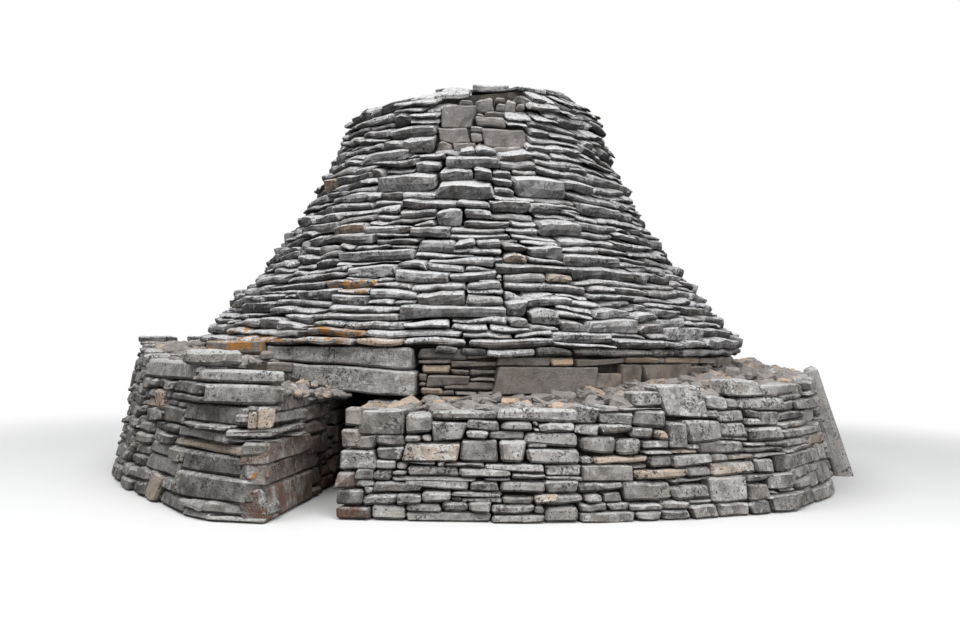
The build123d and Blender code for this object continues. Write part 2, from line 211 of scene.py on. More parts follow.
def sight(across, down):
    """The direction in which the camera sees a pixel of the photograph."""
    ray = Vector(((across - PHOTO_WIDTH / 2) / PIXELS_FOR_ONE,
                  (PHOTO_HEIGHT / 2 - down) / PIXELS_FOR_ONE, -1.0))
    return np.array(CAMERA_FRAME.to_3x3() @ ray)


def placed_stones(blocks, seen, unit=1.0, corners=()):
    """Cells for the stones of a list, from what the camera sees at their four edges."""
    cells = []
    for left, top, right, bottom, *finish in blocks:
        middle = (left + right) / 2, (top + bottom) / 2
        edges = [seen(left, middle[1]), seen(right, middle[1]), seen(middle[0], bottom),
                 seen(middle[0], top)]
        if any(edge is None for edge in edges):
            continue
        mark = finish[0] if finish else None
        cell = [edges[0][0], edges[1][0], edges[2][1], edges[3][1], mark]
        if (cell[1] - cell[0]) * unit > NARROWEST and cell[3] > cell[2] + THINNEST_SEEN:
            cells.append(cell)
    for cell in cells:
        for corner in corners:
            cell[:2] = [corner if abs(s - corner) < CORNER_PULL else s for s in cell[:2]]
        for other in cells:
            beside = min(cell[3], other[3]) - max(cell[2], other[2]) > 0.01
            if cell is not other and beside and abs(cell[1] - other[0]) * unit < NARROWEST * 1.3:
                cell[1] = other[0] = (cell[1] + other[0]) / 2
    return cells


# Trees of nodes


class Wire:
    """A node's output. Arithmetic with it adds Math nodes to its tree."""

    def __init__(self, socket):
        self.socket = socket

    def __add__(self, other):
        return maths("ADD", self, other)

    def __sub__(self, other):
        return maths("SUBTRACT", self, other)

    def __rsub__(self, other):
        return maths("SUBTRACT", other, self)

    def __mul__(self, other):
        return maths("MULTIPLY", self, other)

    def __truediv__(self, other):
        return maths("DIVIDE", self, other)

    def __rtruediv__(self, other):
        return maths("DIVIDE", other, self)


def tree_of(*values):
    """The tree of the first output among some values."""
    return next(value.socket.id_data for value in values if isinstance(value, Wire))


def put(tree, kind, output, inputs=None, **settings):
    """Adds a node whose inputs are plain values or other nodes' outputs, and gives one output."""
    node = tree.nodes.new(kind)
    for name, value in settings.items():
        setattr(node, name, value)
    for name, value in (inputs or {}).items():
        if isinstance(value, Wire):
            tree.links.new(value.socket, node.inputs[name])
        else:
            node.inputs[name].default_value = value
    return Wire(node.outputs[output])


def link(wire, node, name):
    """Links an output to another node's input."""
    node.id_data.links.new(wire.socket, node.inputs[name])


def maths(operation, *values):
    """A Math node on outputs and plain values."""
    return put(tree_of(*values), "ShaderNodeMath", 0, dict(enumerate(values)), operation=operation)


def vector_maths(operation, a, b=(0.0, 0.0, 0.0)):
    """A Vector Math node on a vector and a second vector or scale."""
    second = "Scale" if operation == "SCALE" else 1
    return put(tree_of(a), "ShaderNodeVectorMath", 0, {0: a, second: b}, operation=operation)


def split(vector):
    """The X, Y and Z of a vector."""
    node = put(tree_of(vector), "ShaderNodeSeparateXYZ", 0, {0: vector}).socket.node
    return [Wire(output) for output in node.outputs]


def vector_of(tree, *parts):
    """A vector of three values."""
    return put(tree, "ShaderNodeCombineXYZ", 0, dict(enumerate(parts)))


def between(value, low, high, to_low=0.0, to_high=1.0):
    """Goes smoothly from one value to another while an output goes from low to high."""
    return put(
        tree_of(value), "ShaderNodeMapRange", 0,
        {"Value": value, "From Min": low, "From Max": high, "To Min": to_low, "To Max": to_high},
        interpolation_type="SMOOTHSTEP",
    )


def blend(share, a, b, kind="MIX"):
    """Blends two colours."""
    inputs = {0: share, 6: a, 7: b}
    return put(tree_of(share, a, b), "ShaderNodeMix", 2, inputs, data_type="RGBA", blend_type=kind)


def new_tree(name, kind, inputs, outputs):
    """An empty node group with named inputs and outputs, its inputs by name, and its output node."""
    tree = bpy.data.node_groups.new(name, kind)
    for socket_name, socket_kind, value in inputs:
        socket = tree.interface.new_socket(
            socket_name, in_out="INPUT", socket_type="NodeSocket" + socket_kind
        )
        if value is not None:
            socket.default_value = value
    for socket_name, socket_kind in outputs:
        tree.interface.new_socket(
            socket_name, in_out="OUTPUT", socket_type="NodeSocket" + socket_kind
        )
    given = {socket.name: Wire(socket) for socket in tree.nodes.new("NodeGroupInput").outputs}
    return tree, given, tree.nodes.new("NodeGroupOutput")


def grown_mesh(name, start, tree, values):
    """What a tree of Geometry Nodes makes of a mesh, as a plain mesh."""
    holder = bpy.data.objects.new(name + "_start", start)
    bpy.context.scene.collection.objects.link(holder)
    modifier = holder.modifiers.new("grown", "NODES")
    modifier.node_group = tree
    for item in tree.interface.items_tree:
        if item.item_type == "SOCKET" and item.in_out == "INPUT" and item.name in values:
            modifier[item.identifier] = values[item.name]
    evaluated = holder.evaluated_get(bpy.context.evaluated_depsgraph_get())
    mesh = bpy.data.meshes.new_from_object(evaluated)
    bpy.data.objects.remove(holder)
    return mesh


CORNERS = [(x, y, z) for z in (0, 1) for y in (0, 1) for x in (0, 1)]
BED_SHARE = 0.35  # how far up a stone lies the line towards which its ends thin
FULL_UNIT = 0.999  # a point of the two-metre block past this lies on its outside


def corner_name(x, y, z):
    """The attribute that holds a corner's place."""
    return f"corner_{x}{y}{z}"


def laid_stone_tree():
    """Turns points that carry eight corners into stones with worn edges and broken faces."""
    tree, given, result = new_tree(
        "laid_stones", "GeometryNodeTree",
        [
            ("Setting", "Geometry", None), ("Cuts along", "Int", 6), ("Cuts up", "Int", 4),
            ("Cuts deep", "Int", 4), ("Edge wear", "Float", 0.35), ("Corner wear", "Float", 0.55),
            ("Break size", "Float", 0.16), ("Wave", "Float", 0.03), ("Wave size", "Float", 0.6),
            ("Stone", "Material", None),
        ],
        [("Stones", "Geometry")],
    )
    block = put(
        tree, "GeometryNodeMeshCube", "Mesh",
        {"Size": (2.0, 2.0, 2.0), "Vertices X": given["Cuts along"],
         "Vertices Y": given["Cuts deep"], "Vertices Z": given["Cuts up"]},
    )
    stored = put(
        tree, "GeometryNodeStoreNamedAttribute", "Geometry",
        {"Geometry": block, "Name": "unit", "Value": put(tree, "GeometryNodeInputPosition", 0)},
        data_type="FLOAT_VECTOR", domain="POINT",
    )
    placed = put(
        tree, "GeometryNodeInstanceOnPoints", "Instances",
        {"Points": given["Setting"], "Instance": stored},
    )
    loose = put(tree, "GeometryNodeRealizeInstances", "Geometry", {"Geometry": placed})

    def attribute(name):
        """A vector that the points carry."""
        return put(
            tree, "GeometryNodeInputNamedAttribute", 0, {"Name": name}, data_type="FLOAT_VECTOR"
        )

    unit = split(attribute("unit"))
    bevel = split(attribute("bevel"))
    number, roughness, belly = split(attribute("build"))
    ends_back, top_back, foot_back = split(attribute("shape"))

    outside = [maths("GREATER_THAN", maths("ABSOLUTE", part), FULL_UNIT) for part in unit]
    met = outside[0] + outside[1] + outside[2]
    on_edge = maths("COMPARE", met, 2.0, 0.1) * given["Edge wear"]
    wear = on_edge + maths("COMPARE", met, 3.0, 0.1) * given["Corner wear"]
    shares = []
    for i, cuts in enumerate(("Cuts along", "Cuts deep", "Cuts up")):
        inner_loop = 1.0 - 2.0 / (given[cuts] - 1.0)
        inner = unit[i] / inner_loop * (1.0 - bevel[i])
        outer = unit[i] * (1.0 - wear * bevel[i])
        both = put(tree, "ShaderNodeMix", 0, {"Factor": outside[i], "A": inner, "B": outer})
        shares.append(both * 0.5 + 0.5)

    to_end = maths("POWER", unit[0], 2.0)
    shares[2] = (shares[2] - BED_SHARE) * (1.0 - belly * to_end) + BED_SHARE
    above = maths("POWER", maths("MAXIMUM", unit[2] + 0.15, 0.0), 2.0)
    below = maths("POWER", maths("MAXIMUM", -0.35 - unit[2], 0.0), 2.0)
    set_back = ends_back * to_end + above * top_back + below * foot_back
    shares[1] = set_back * (1.0 - shares[1]) + shares[1]

    corners = [attribute(corner_name(*corner)) for corner in CORNERS]
    for share in shares:
        corners = [
            put(tree, "ShaderNodeMix", 1, {"Factor": share, 4: a, 5: b}, data_type="VECTOR")
            for a, b in zip(corners[0::2], corners[1::2])
        ]
    place = corners[0]
    broken = put(
        tree, "ShaderNodeTexNoise", "Color",
        {"Vector": place, "W": number, "Scale": 1.0 / given["Break size"], "Detail": 2.0,
         "Roughness": 0.6},
        noise_dimensions="4D",
    )
    shift = vector_maths("SCALE", vector_maths("SUBTRACT", broken, (0.5, 0.5, 0.5)), roughness)
    swell = put(
        tree, "ShaderNodeTexNoise", 0,
        {"Vector": place, "Scale": 1.0 / given["Wave size"], "Detail": 1.0},
    )
    lift = (swell - 0.5) * given["Wave"]
    shift = vector_maths("ADD", shift, vector_of(tree, 0.0, 0.0, lift))
    stones = put(
        tree, "GeometryNodeSetPosition", "Geometry",
        {"Geometry": loose, "Position": vector_maths("ADD", place, shift)},
    )
    for name in [corner_name(*corner) for corner in CORNERS] + ["build", "bevel", "shape"]:
        stones = put(
            tree, "GeometryNodeRemoveAttribute", "Geometry", {"Geometry": stones, "Name": name}
        )
    painted = put(
        tree, "GeometryNodeSetMaterial", "Geometry",
        {"Geometry": stones, "Material": given["Stone"]},
    )
    link(painted, result, "Stones")
    return tree


# Stones and their finish


@dataclass(eq=False)
class Stone:
    """One stone: eight corners (left or right, front or back, low or high) and its finish."""

    corners: np.ndarray
    rough: float = 0.04
    bevel: float = 0.022
    belly: float = 0.0  # how much thinner its ends are
    shape: tuple = (0.0, 0.0, 0.0)  # shares of its depth that its face's ends, top and foot stand back
    tint: float = 0.5
    lichen: float = 0.5
    fresh: float = 0.0
    orange: float = 0.0
    soil: float = 0.0

    def __post_init__(self):
        self.corners = np.array(self.corners, dtype=float)

    def centre(self):
        """The middle of its corners."""
        return self.corners.mean(axis=0)

    def spans(self):
        """Its length, depth and thickness."""
        sides = np.array(CORNERS, dtype=bool).T
        ends = [self.corners[far].mean(axis=0) - self.corners[~far].mean(axis=0) for far in sides]
        return np.linalg.norm(ends, axis=1)


def store(mesh, name, rows):
    """Stores a vector for each point of a mesh."""
    layer = mesh.attributes.new(name, "FLOAT_VECTOR", "POINT")
    layer.data.foreach_set("vector", np.asarray(rows, dtype=np.float32).ravel())


def stones_piece(name, stones, material, cuts=(6, 4, 4), break_size=0.16, wave=(0.0, 0.6)):
    """The mesh of many stones, made by the tree from one point for each stone."""
    setting = bpy.data.meshes.new(name + "_setting")
    setting.from_pydata([tuple(stone.centre()) for stone in stones], [], [])
    for i, corner in enumerate(CORNERS):
        store(setting, corner_name(*corner), [stone.corners[i] for stone in stones])
    spans = np.array([stone.spans() for stone in stones])
    bevels = np.array([[stone.bevel] for stone in stones])
    store(setting, "bevel", np.clip(2 * bevels / spans, 0.02, 0.55))
    store(setting, "build", [(i * 3.7, stone.rough, stone.belly) for i, stone in enumerate(stones)])
    store(setting, "shape", [stone.shape for stone in stones])
    store(setting, "finish", [(stone.tint, stone.lichen, stone.fresh) for stone in stones])
    store(setting, "stain", [(stone.orange, stone.soil, i * 0.37) for i, stone in enumerate(stones)])
    mesh = grown_mesh(name, setting, LAID_STONES, {
        "Cuts along": cuts[0], "Cuts up": cuts[1], "Cuts deep": cuts[2], "Break size": break_size,
        "Wave": wave[0], "Wave size": wave[1], "Stone": material,
    })
    return finished_piece(name, mesh)


def finished_piece(name, mesh):
    """An object whose mesh keeps inside the part's own box."""
    points = np.empty(len(mesh.vertices) * 3)
    mesh.vertices.foreach_get("co", points)
    points = np.clip(points.reshape(-1, 3), *cad_box)
    mesh.vertices.foreach_set("co", points.ravel())
    mesh.update()
    piece = bpy.data.objects.new(name, mesh)
    bpy.context.scene.collection.objects.link(piece)
    return piece


# Orange lichen that the photograph shows, by its left, top, right and bottom edge in pixels
ORANGE_SPOTS = [
    (224, 329, 262, 356), (262, 336, 300, 360), (296, 328, 344, 343), (338, 282, 378, 294),
    (360, 412, 372, 424), (250, 455, 268, 470),
]
SPOT_STRENGTH = 0.85
# The same on the sides that it doesn't show: azimuth, height, reach and strength of each patch
ORANGE_PATCHES = [
    (150.0, 1.6, 0.5, 0.8), (215.0, 1.9, 0.4, 0.7), (95.0, 1.55, 0.4, 0.6), (262.0, 1.35, 0.4, 0.6),
]


def pixel_of(point):
    """The pixel of the photograph at which the camera sees a point."""
    x, y, z = CAMERA_FRAME.to_3x3().transposed() @ (Vector(point) - CAMERA_PLACE)
    return PHOTO_WIDTH / 2 - x / z * PIXELS_FOR_ONE, PHOTO_HEIGHT / 2 + y / z * PIXELS_FOR_ONE


def orange_at(point):
    """How much orange lichen grows at a point."""
    total = 0.0
    for azimuth, height, reach, strength in ORANGE_PATCHES:
        radius = hypot(point[0] - AXIS_X, point[1])
        gap = np.linalg.norm(np.array(point) - polar(azimuth, radius, height)) / reach
        total += strength * exp(-gap * gap)
    across, down = pixel_of(point)
    for left, top, right, bottom in ORANGE_SPOTS:
        if point[1] < 0.0 and left < across < right and top < down < bottom:
            total += SPOT_STRENGTH
    return min(total, 1.0)


# The finish that each mark of a listed stone stands for
MARKS = {
    "pale": {"tint": 0.9, "lichen": 0.85}, "dark": {"tint": 0.42, "lichen": 0.5},
    "spotted": {"tint": 0.7, "lichen": 0.9}, "cream": {"fresh": 0.55, "tint": 0.75},
    "fresh": {"fresh": 0.45, "tint": 0.95}, "red": {"soil": 0.6}, "gold": {"fresh": 1.0, "orange": 0.3},
    "pink": {"fresh": 0.16, "tint": 0.42}, "slab": {"tint": 0.8, "lichen": 0.3, "fresh": 0.0},
}
# The share of a face's stones that are freshly broken, and how fresh the least and most are
FRESH = {"roof": (0.012, 0.5, 1.0), "drum": (0.14, 0.25, 0.9), "ring": (0.035, 0.2, 0.7)}
SHELTERED = {"drum": 0.5, "room": 0.2}  # how much of its lichen a sheltered face keeps


def weather(rng, stone, kind, mark=None):
    """Gives a stone the finish of its place, or of its mark."""
    stone.tint = min(max(rng.gauss(0.5, 0.2), 0.0), 1.0)
    stone.lichen = min(max(rng.gauss(0.5, 0.22), 0.0), 1.0) * SHELTERED.get(kind, 1.0)
    stone.orange = orange_at(stone.corners[[0, 1, 4, 5]].mean(axis=0))
    if kind in FRESH:
        share, least, most = FRESH[kind]
        stone.fresh = rng.uniform(least, most) if rng.random() < share else 0.0
    if kind == "reveal":
        damp = 0.75 - 0.75 * stone.centre()[2]
        stone.soil = min(max(damp + rng.uniform(-0.2, 0.25), 0.0), 1.0)
    for name, value in MARKS.get(mark, {}).items():
        setattr(stone, name, value)
    return stone


# The least and most roughness, edge wear and belly of each face's stones, and the same for how far
# the face's ends, top and foot stand back, in the order in which they are drawn
RING_WEAR = {
    "rough": (0.035, 0.065), "bevel": (0.010, 0.028), "belly": (0.0, 0.16),
    "shape": ((0.0, 0.10), (0.0, 0.05), (0.0, 0.05)),
}
DRUM_WEAR = {
    "rough": (0.03, 0.055), "bevel": (0.008, 0.022),
    "shape": ((0.0, 0.08), (0.0, 0.04), (0.0, 0.05)),
}
FLAG_WEAR = {
    "rough": (0.040, 0.075), "bevel": (0.006, 0.017), "belly": (0.0, 0.5),
    "shape": ((0.0, 0.12), (0.03, 0.12), (0.0, 0.12)),
}
EAVE_WEAR = {
    "bevel": (0.010, 0.022), "belly": (0.0, 0.4),
    "shape": ((0.0, 0.08), (0.03, 0.10), (0.0, 0.10)),
}
CORE_WEAR = {"rough": (0.05, 0.08), "bevel": (0.012, 0.028)}


def worn(rng, stone, wear):
    """Draws how rough and worn a stone is."""
    for name, reach in wear.items():
        if name == "shape":
            stone.shape = tuple(rng.uniform(*pair) for pair in reach)
        else:
            setattr(stone, name, rng.uniform(*reach))
    return stone


# Laying out courses


@dataclass
class Sizes:
    """What the stones of a stretch measure."""

    height: float
    spread: float  # how unlike their thicknesses are
    lowest: float
    highest: float
    slenderness: float  # length in thicknesses
    shortest: float
    longest: float
    snap: float = 0.6  # how often a stone takes its neighbour's height
    slope: float = 0.08  # how far its top may slope
    squat: float = 1.35  # its least length, in thicknesses

    def thickness(self, rng):
        """Draws a stone's thickness."""
        value = self.height * exp(rng.gauss(0, self.spread))
        return min(max(value, self.lowest), self.highest)

    def length(self, rng, thickness):
        """Draws a stone's length."""
        value = thickness * self.slenderness * exp(rng.gauss(0, 0.42))
        return min(max(value, self.shortest), self.longest)


LEVEL_STEP = 0.028  # beds that differ by less than this count as level
LISTED_SLOPE = 0.03  # how far the bed of a listed stone may slope
LISTED_LEAST = 0.025  # a listed stone that would rise less over its bed is left out
TOP_SLOPE = 0.02  # how far any stone's top may rise or fall from its middle


def lay(rng, length, sizes_at, top_at, bottom=0.0, corners=(), stretch_at=lambda s, z: 1.0,
        placed=()):
    """
    Lays a face from the bottom up, always on its lowest bed, and breaks the joints below.
    Yields each stone as (left, right, bottom left, bottom right, top left, top right, mark).
    stretch_at gives how many metres along the face one unit of its length measures, and placed
    the stones whose place is known, as (left, right, bottom, top, mark).
    """
    beds = [[0.0, length, bottom, bottom]]
    waiting = list(placed)
    while beds:
        index = min(range(len(beds)), key=lambda i: beds[i][2] + beds[i][3])
        middle = (beds[index][0] + beds[index][1]) / 2
        level = (beds[index][2] + beds[index][3]) / 2
        sizes = sizes_at(middle, level)
        first, last = level_run(beds, index, level, min(LEVEL_STEP, 0.35 * sizes.height))
        run = beds[first:last + 1]
        start, end = run[0][0], run[-1][1]
        above = [cell for cell in waiting if cell[0] < end - 1e-4 and cell[1] > start + 1e-4]
        due = [cell for cell in above if cell[2] - level < 0.6 * sizes.lowest]
        if due:
            cell = min(due, key=lambda cell: cell[2])
            waiting.remove(cell)
            if cell[3] - level > LISTED_LEAST:
                stone = listed_stone(beds, cell)
                yield stone
                beds = raised(beds, *stone[:2], *stone[4:6])
            continue
        unit = stretch_at((start + end) / 2, level)
        top = top_at(middle)
        if above:
            top = max(top, min(cell[2] for cell in above))
        if top - level < sizes.lowest * 0.8:
            beds.pop(index)
            continue
        before, after = beds[:first][-1:], beds[last + 1:][:1]
        if (end - start) * unit < NARROWEST:
            sides = [min(bed[2:]) for bed in before + after]
            rise = min([side for side in sides if side > level], default=top)
            beds = raised(beds, start, end, rise, rise)
            continue
        thickness = sizes.thickness(rng)
        left, right = stone_ends(rng, run, sizes, sizes.length(rng, thickness), unit)
        left, right = turn_corners(rng, left, right, start, end, corners)
        rises = [bed[3] - level for bed in before] + [bed[2] - level for bed in after]
        over = [cell[2] for cell in above if cell[0] < right - 1e-3 and cell[1] > left + 1e-3]
        remaining = min([top, *over]) - level
        thickness = fitted(rng, sizes, thickness, (right - left) * unit, rises, remaining)
        tilt = rng.uniform(-1.0, 1.0) * min(sizes.slope * thickness, TOP_SLOPE)
        high = level + thickness
        lows = bed_height(beds, left, 1), bed_height(beds, right, -1)
        yield left, right, *lows, high + tilt, high - tilt, None
        beds = raised(beds, left, right, high + tilt, high - tilt)


def level_run(beds, index, level, step):
    """The first and last of the beds that meet one another and are level with the given one."""
    first = last = index
    while first > 0 and touches(beds, first - 1) and abs(beds[first - 1][3] - level) < step:
        first -= 1
    while last < len(beds) - 1 and touches(beds, last) and abs(beds[last + 1][2] - level) < step:
        last += 1
    return first, last


def listed_stone(beds, cell):
    """A stone whose place is known, set down on the beds under it."""
    left, right, top, mark = max(cell[0], beds[0][0]), min(cell[1], beds[-1][1]), *cell[3:]
    lows = bed_height(beds, left, 1), bed_height(beds, right, -1)
    low_left, low_right = (min(low, min(lows) + LISTED_SLOPE) for low in lows)
    return left, right, low_left, low_right, top, top, mark


def stone_ends(rng, run, sizes, wanted, unit):
    """The ends of a stone of about the wanted length at one side of a level run of beds."""
    start, end = run[0][0], run[-1][1]
    room = (end - start) * unit
    if room < sizes.shortest * 1.7 or room < wanted * 1.25:
        return start, start + room / 2 / unit if room > sizes.longest else end
    if rng.random() < 0.5:
        left, right = start, start + wanted / unit
    else:
        left, right = end - wanted / unit, end
    if left > start and (left - start) * unit < sizes.shortest:
        left = start
    if right < end and (end - right) * unit < sizes.shortest:
        right = end
    return break_joints(rng, left, right, start, end, [bed[1] for bed in run[:-1]], sizes, unit)


def fitted(rng, sizes, thickness, length, rises, remaining):
    """A stone's thickness, fitted to its neighbours' heights, its length and the room over it."""
    near = [rise for rise in rises if 0.62 * thickness < rise < 1.5 * thickness]
    if near and rng.random() < sizes.snap:
        thickness = min(near, key=lambda rise: abs(rise - thickness))
    thickness = min(max(thickness, sizes.lowest), sizes.highest)
    if length < thickness * sizes.squat:
        thickness = max(length / sizes.squat, sizes.lowest)
    if remaining - thickness < sizes.lowest:
        thickness = min(max(remaining, sizes.lowest), sizes.highest * 1.15)
    return thickness


def raised(beds, left, right, high_left, high_right):
    """The beds once a stone lies between left and right."""
    result = []
    for bed in beds:
        if bed[1] <= left or bed[0] >= right:
            result.append(bed)
            continue
        if bed[0] < left:
            result.append([bed[0], left, bed[2], bed_height(beds, left, -1)])
        if bed[1] > right:
            result.append([right, bed[1], bed_height(beds, right, 1), bed[3]])
    result.append([left, right, high_left, high_right])
    return sorted(bed for bed in result if bed[1] - bed[0] > 1e-6)


def touches(beds, index):
    """Whether a bed and the next one to its right meet."""
    return abs(beds[index][1] - beds[index + 1][0]) < 1e-6


def bed_height(beds, s, side):
    """The height of the beds at s, just to its right (1) or left (-1)."""
    for left, right, low, high in beds:
        if left - 1e-9 <= s <= right + 1e-9:
            if (side > 0 and s > right - 1e-9) or (side < 0 and s < left + 1e-9):
                continue
            return low + (high - low) * (s - left) / max(right - left, 1e-9)
    return min(beds, key=lambda bed: min(abs(bed[0] - s), abs(bed[1] - s)))[2]


def break_joints(rng, left, right, start, end, joints, sizes, unit):
    """Moves a stone's free end away from the joints under it."""
    clear = min(0.07, sizes.shortest * 0.4) / unit
    for joint in joints:
        if abs(right - joint) < clear and right < end:
            right = joint + clear * rng.choice((-1.0, 1.0))
        if abs(left - joint) < clear and left > start:
            left = joint + clear * rng.choice((-1.0, 1.0))
    left, right = max(left, start), min(right, end)
    if right - left < 0.5 * sizes.shortest / unit:
        return start, end
    return left, right


def turn_corners(rng, left, right, start, end, corners):
    """Makes the stone at a sharp corner reach round it."""
    for corner in corners:
        reach = rng.uniform(0.17, 0.30)
        if abs(right - corner) < 0.14 and right < end:
            right = corner + reach if corner + reach < end - 0.1 else min(corner + 0.14, end)
        if abs(left - corner) < 0.14 and left > start:
            left = corner - reach if corner - reach > start + 0.1 else max(corner - 0.14, start)
    return left, right


SHARP_TURN = 28.0  # degrees between two legs that meet at a sharp corner
EASED_RUN = 0.30  # how near a gentle bend a face starts to turn with it
HIGHEST_LEAN = 1.4  # above this height what is seen on a face is taken to lean no farther


class FacePath:
    """
    A wall's line in plan, with its face on the right of the way it runs. Every point leans back
    by the mitre of its two legs, and all the points of a rounded corner by that of the corner:
    curves gives the first and last of them with the numbers of the legs that the curve joins.
    """

    def __init__(self, points, tops, batters, curves=()):
        self.points = [np.array(point, dtype=float) for point in points]
        self.tops = list(tops)
        self.batters = list(batters)
        legs = [b - a for a, b in zip(self.points, self.points[1:])]
        runs = [np.linalg.norm(leg) for leg in legs]
        self.stations = np.concatenate(([0.0], np.cumsum(runs)))
        self.length = float(self.stations[-1])
        self.headings = [leg / max(run, 1e-9) for leg, run in zip(legs, runs)]
        inwards = [np.array((-h[1], h[0])) for h in self.headings]
        last = len(self.headings) - 1

        def mitre(before, after):
            """How far a point between two legs leans back for each metre of height."""
            sides = np.array((inwards[before], inwards[after]))
            if abs(np.linalg.det(sides)) < 0.01:
                return inwards[after] * self.batters[after]
            return np.linalg.solve(sides, (self.batters[before], self.batters[after]))

        self.leans = [mitre(max(i - 1, 0), min(i, last)) for i in range(len(self.points))]
        for first, end, before, after in curves:
            self.leans[first:end + 1] = [mitre(before, after)] * (end + 1 - first)
        self.slopes = [lean @ inward for lean, inward in zip(self.leans, inwards)]
        self.corners = []
        for i in range(1, len(self.headings)):
            turn = degrees(np.arccos(np.clip(self.headings[i - 1] @ self.headings[i], -1, 1)))
            if turn > SHARP_TURN:
                self.corners.append(float(self.stations[i]))

    def seen(self, across, down):
        """Where the camera sees this face at a pixel: how far along it, and how high."""
        return self.met(sight(across, down), 0.02) or self.met(sight(across, down), 0.30)

    def met(self, ray, slack):
        """Where a ray from the camera meets the face, whose legs reach on a little at their ends."""
        hits = []
        for leg, heading in enumerate(self.headings):
            foot = np.array((*self.points[leg], 0.0))
            normal = np.array((heading[1], -heading[0], self.slopes[leg]))
            if normal @ ray > -1e-4:
                continue
            far = normal @ (foot - np.array(CAMERA_PLACE)) / (normal @ ray)
            point = np.array(CAMERA_PLACE) + ray * far
            z = min(max(point[2], 0.0), HIGHEST_LEAN)
            start, end = (self.points[i] + self.leans[i] * z for i in (leg, leg + 1))
            along = (point[:2] - start) @ heading
            reach = (end - start) @ heading
            if -slack < along < reach + slack and reach > 1e-3 and -0.1 < point[2] < 3.0:
                share = min(max(along / reach, 0.0), 1.0)
                run = self.stations[leg + 1] - self.stations[leg]
                hits.append((far, self.stations[leg] + share * run, max(point[2], 0.0)))
        return min(hits)[1:] if hits else None

    def leg(self, s):
        """The number of the leg on which s lies."""
        leg = np.searchsorted(self.stations, s, side="right") - 1
        return int(np.clip(leg, 0, len(self.headings) - 1))

    def top(self, s):
        """The wall's height at s."""
        return float(np.interp(s, self.stations, self.tops))

    def at(self, s, z=0.0):
        """A point of the face, at a height."""
        leg = self.leg(s)
        run = self.stations[leg + 1] - self.stations[leg]
        share = (s - self.stations[leg]) / max(run, 1e-9)
        lean = self.leans[leg] * (1 - share) + self.leans[leg + 1] * share
        return self.points[leg] + self.headings[leg] * (s - self.stations[leg]) + lean * z

    def facing(self, s):
        """The level direction that the face looks in, eased over gentle bends."""
        leg = self.leg(s)
        heading = self.headings[leg]
        for other in (leg - 1, leg + 1):
            if not 0 <= other < len(self.headings):
                continue
            bend = self.stations[max(leg, other)]
            if any(abs(bend - corner) < 1e-6 for corner in self.corners):
                continue
            near = max(0.0, 1 - abs(s - bend) / EASED_RUN) * 0.5
            heading = heading * (1 - near) + self.headings[other] * near
        heading = heading / np.linalg.norm(heading)
        return np.array((heading[1], -heading[0]))


FACE_TILT = 0.014  # how far a wall's stone may stand out at one end more than it does on the whole


def stone_on_path(rng, path, cell, depth, proud):
    """A wall's stone, from its cell on the wall's face, its depth and how proud it stands."""
    left, right, low_left, low_right, high_left, high_right = cell[:6]
    gap = STONE_GAP * rng.uniform(0.4, 1.6)
    left, right = left + gap, right - gap
    inside = [corner for corner in path.corners if left + 0.02 < corner < right - 0.02]
    outs = [proud + rng.uniform(-FACE_TILT, FACE_TILT) for _ in range(2)]
    lean = rng.uniform(-FACE_TILT, FACE_TILT) * 0.8
    thickness = (high_left + high_right - low_left - low_right) / 2
    slant = min(0.16 * thickness, 0.12 * (right - left))
    skew = rng.uniform(-slant, slant), rng.uniform(-slant, slant)
    drop = rng.uniform(-0.012, 0.012)
    inwards = -path.facing((left + right) / 2)

    def inset(s, z, inward):
        """The point of the face at s and z, moved into the wall."""
        place = path.at(s, z) + inwards * inward
        return (place[0], place[1], z)

    corners = []
    for high, z_left, z_right in (
        (-1, low_left + gap, low_right + gap), (1, high_left - gap, high_right - gap)
    ):
        s_left, s_right = left + skew[0] * high, right + skew[1] * high
        out_left, out_right = (out + lean * high for out in outs)
        front_left = inset(s_left, z_left, -out_left)
        front_right = inset(s_right, z_right, -out_right)
        back_left = inset(s_left, z_left + drop, depth)
        back_right = inset(s_right, z_right + drop, depth)
        if inside:
            edge = corner_edge(path, inside[0], (z_left + z_right) / 2, (out_left + out_right) / 2)
            if inside[0] - left >= right - inside[0]:
                back_right, front_right = front_right, edge
            else:
                back_left, front_left = front_left, edge
        corners += [front_left, front_right, back_left, back_right]
    return Stone(corners)


def corner_edge(path, corner, z, out):
    """Where the two faces that meet at a sharp corner cross, at a height."""
    sides = (corner - 1e-4, corner + 1e-4)
    facings = np.array([path.facing(s) for s in sides])
    place = path.at(corner, z) + np.linalg.solve(facings, (out, out))
    return (place[0], place[1], z)


# Materials

WARM_TONE = (0.36, 0.30, 0.24, 1.0)


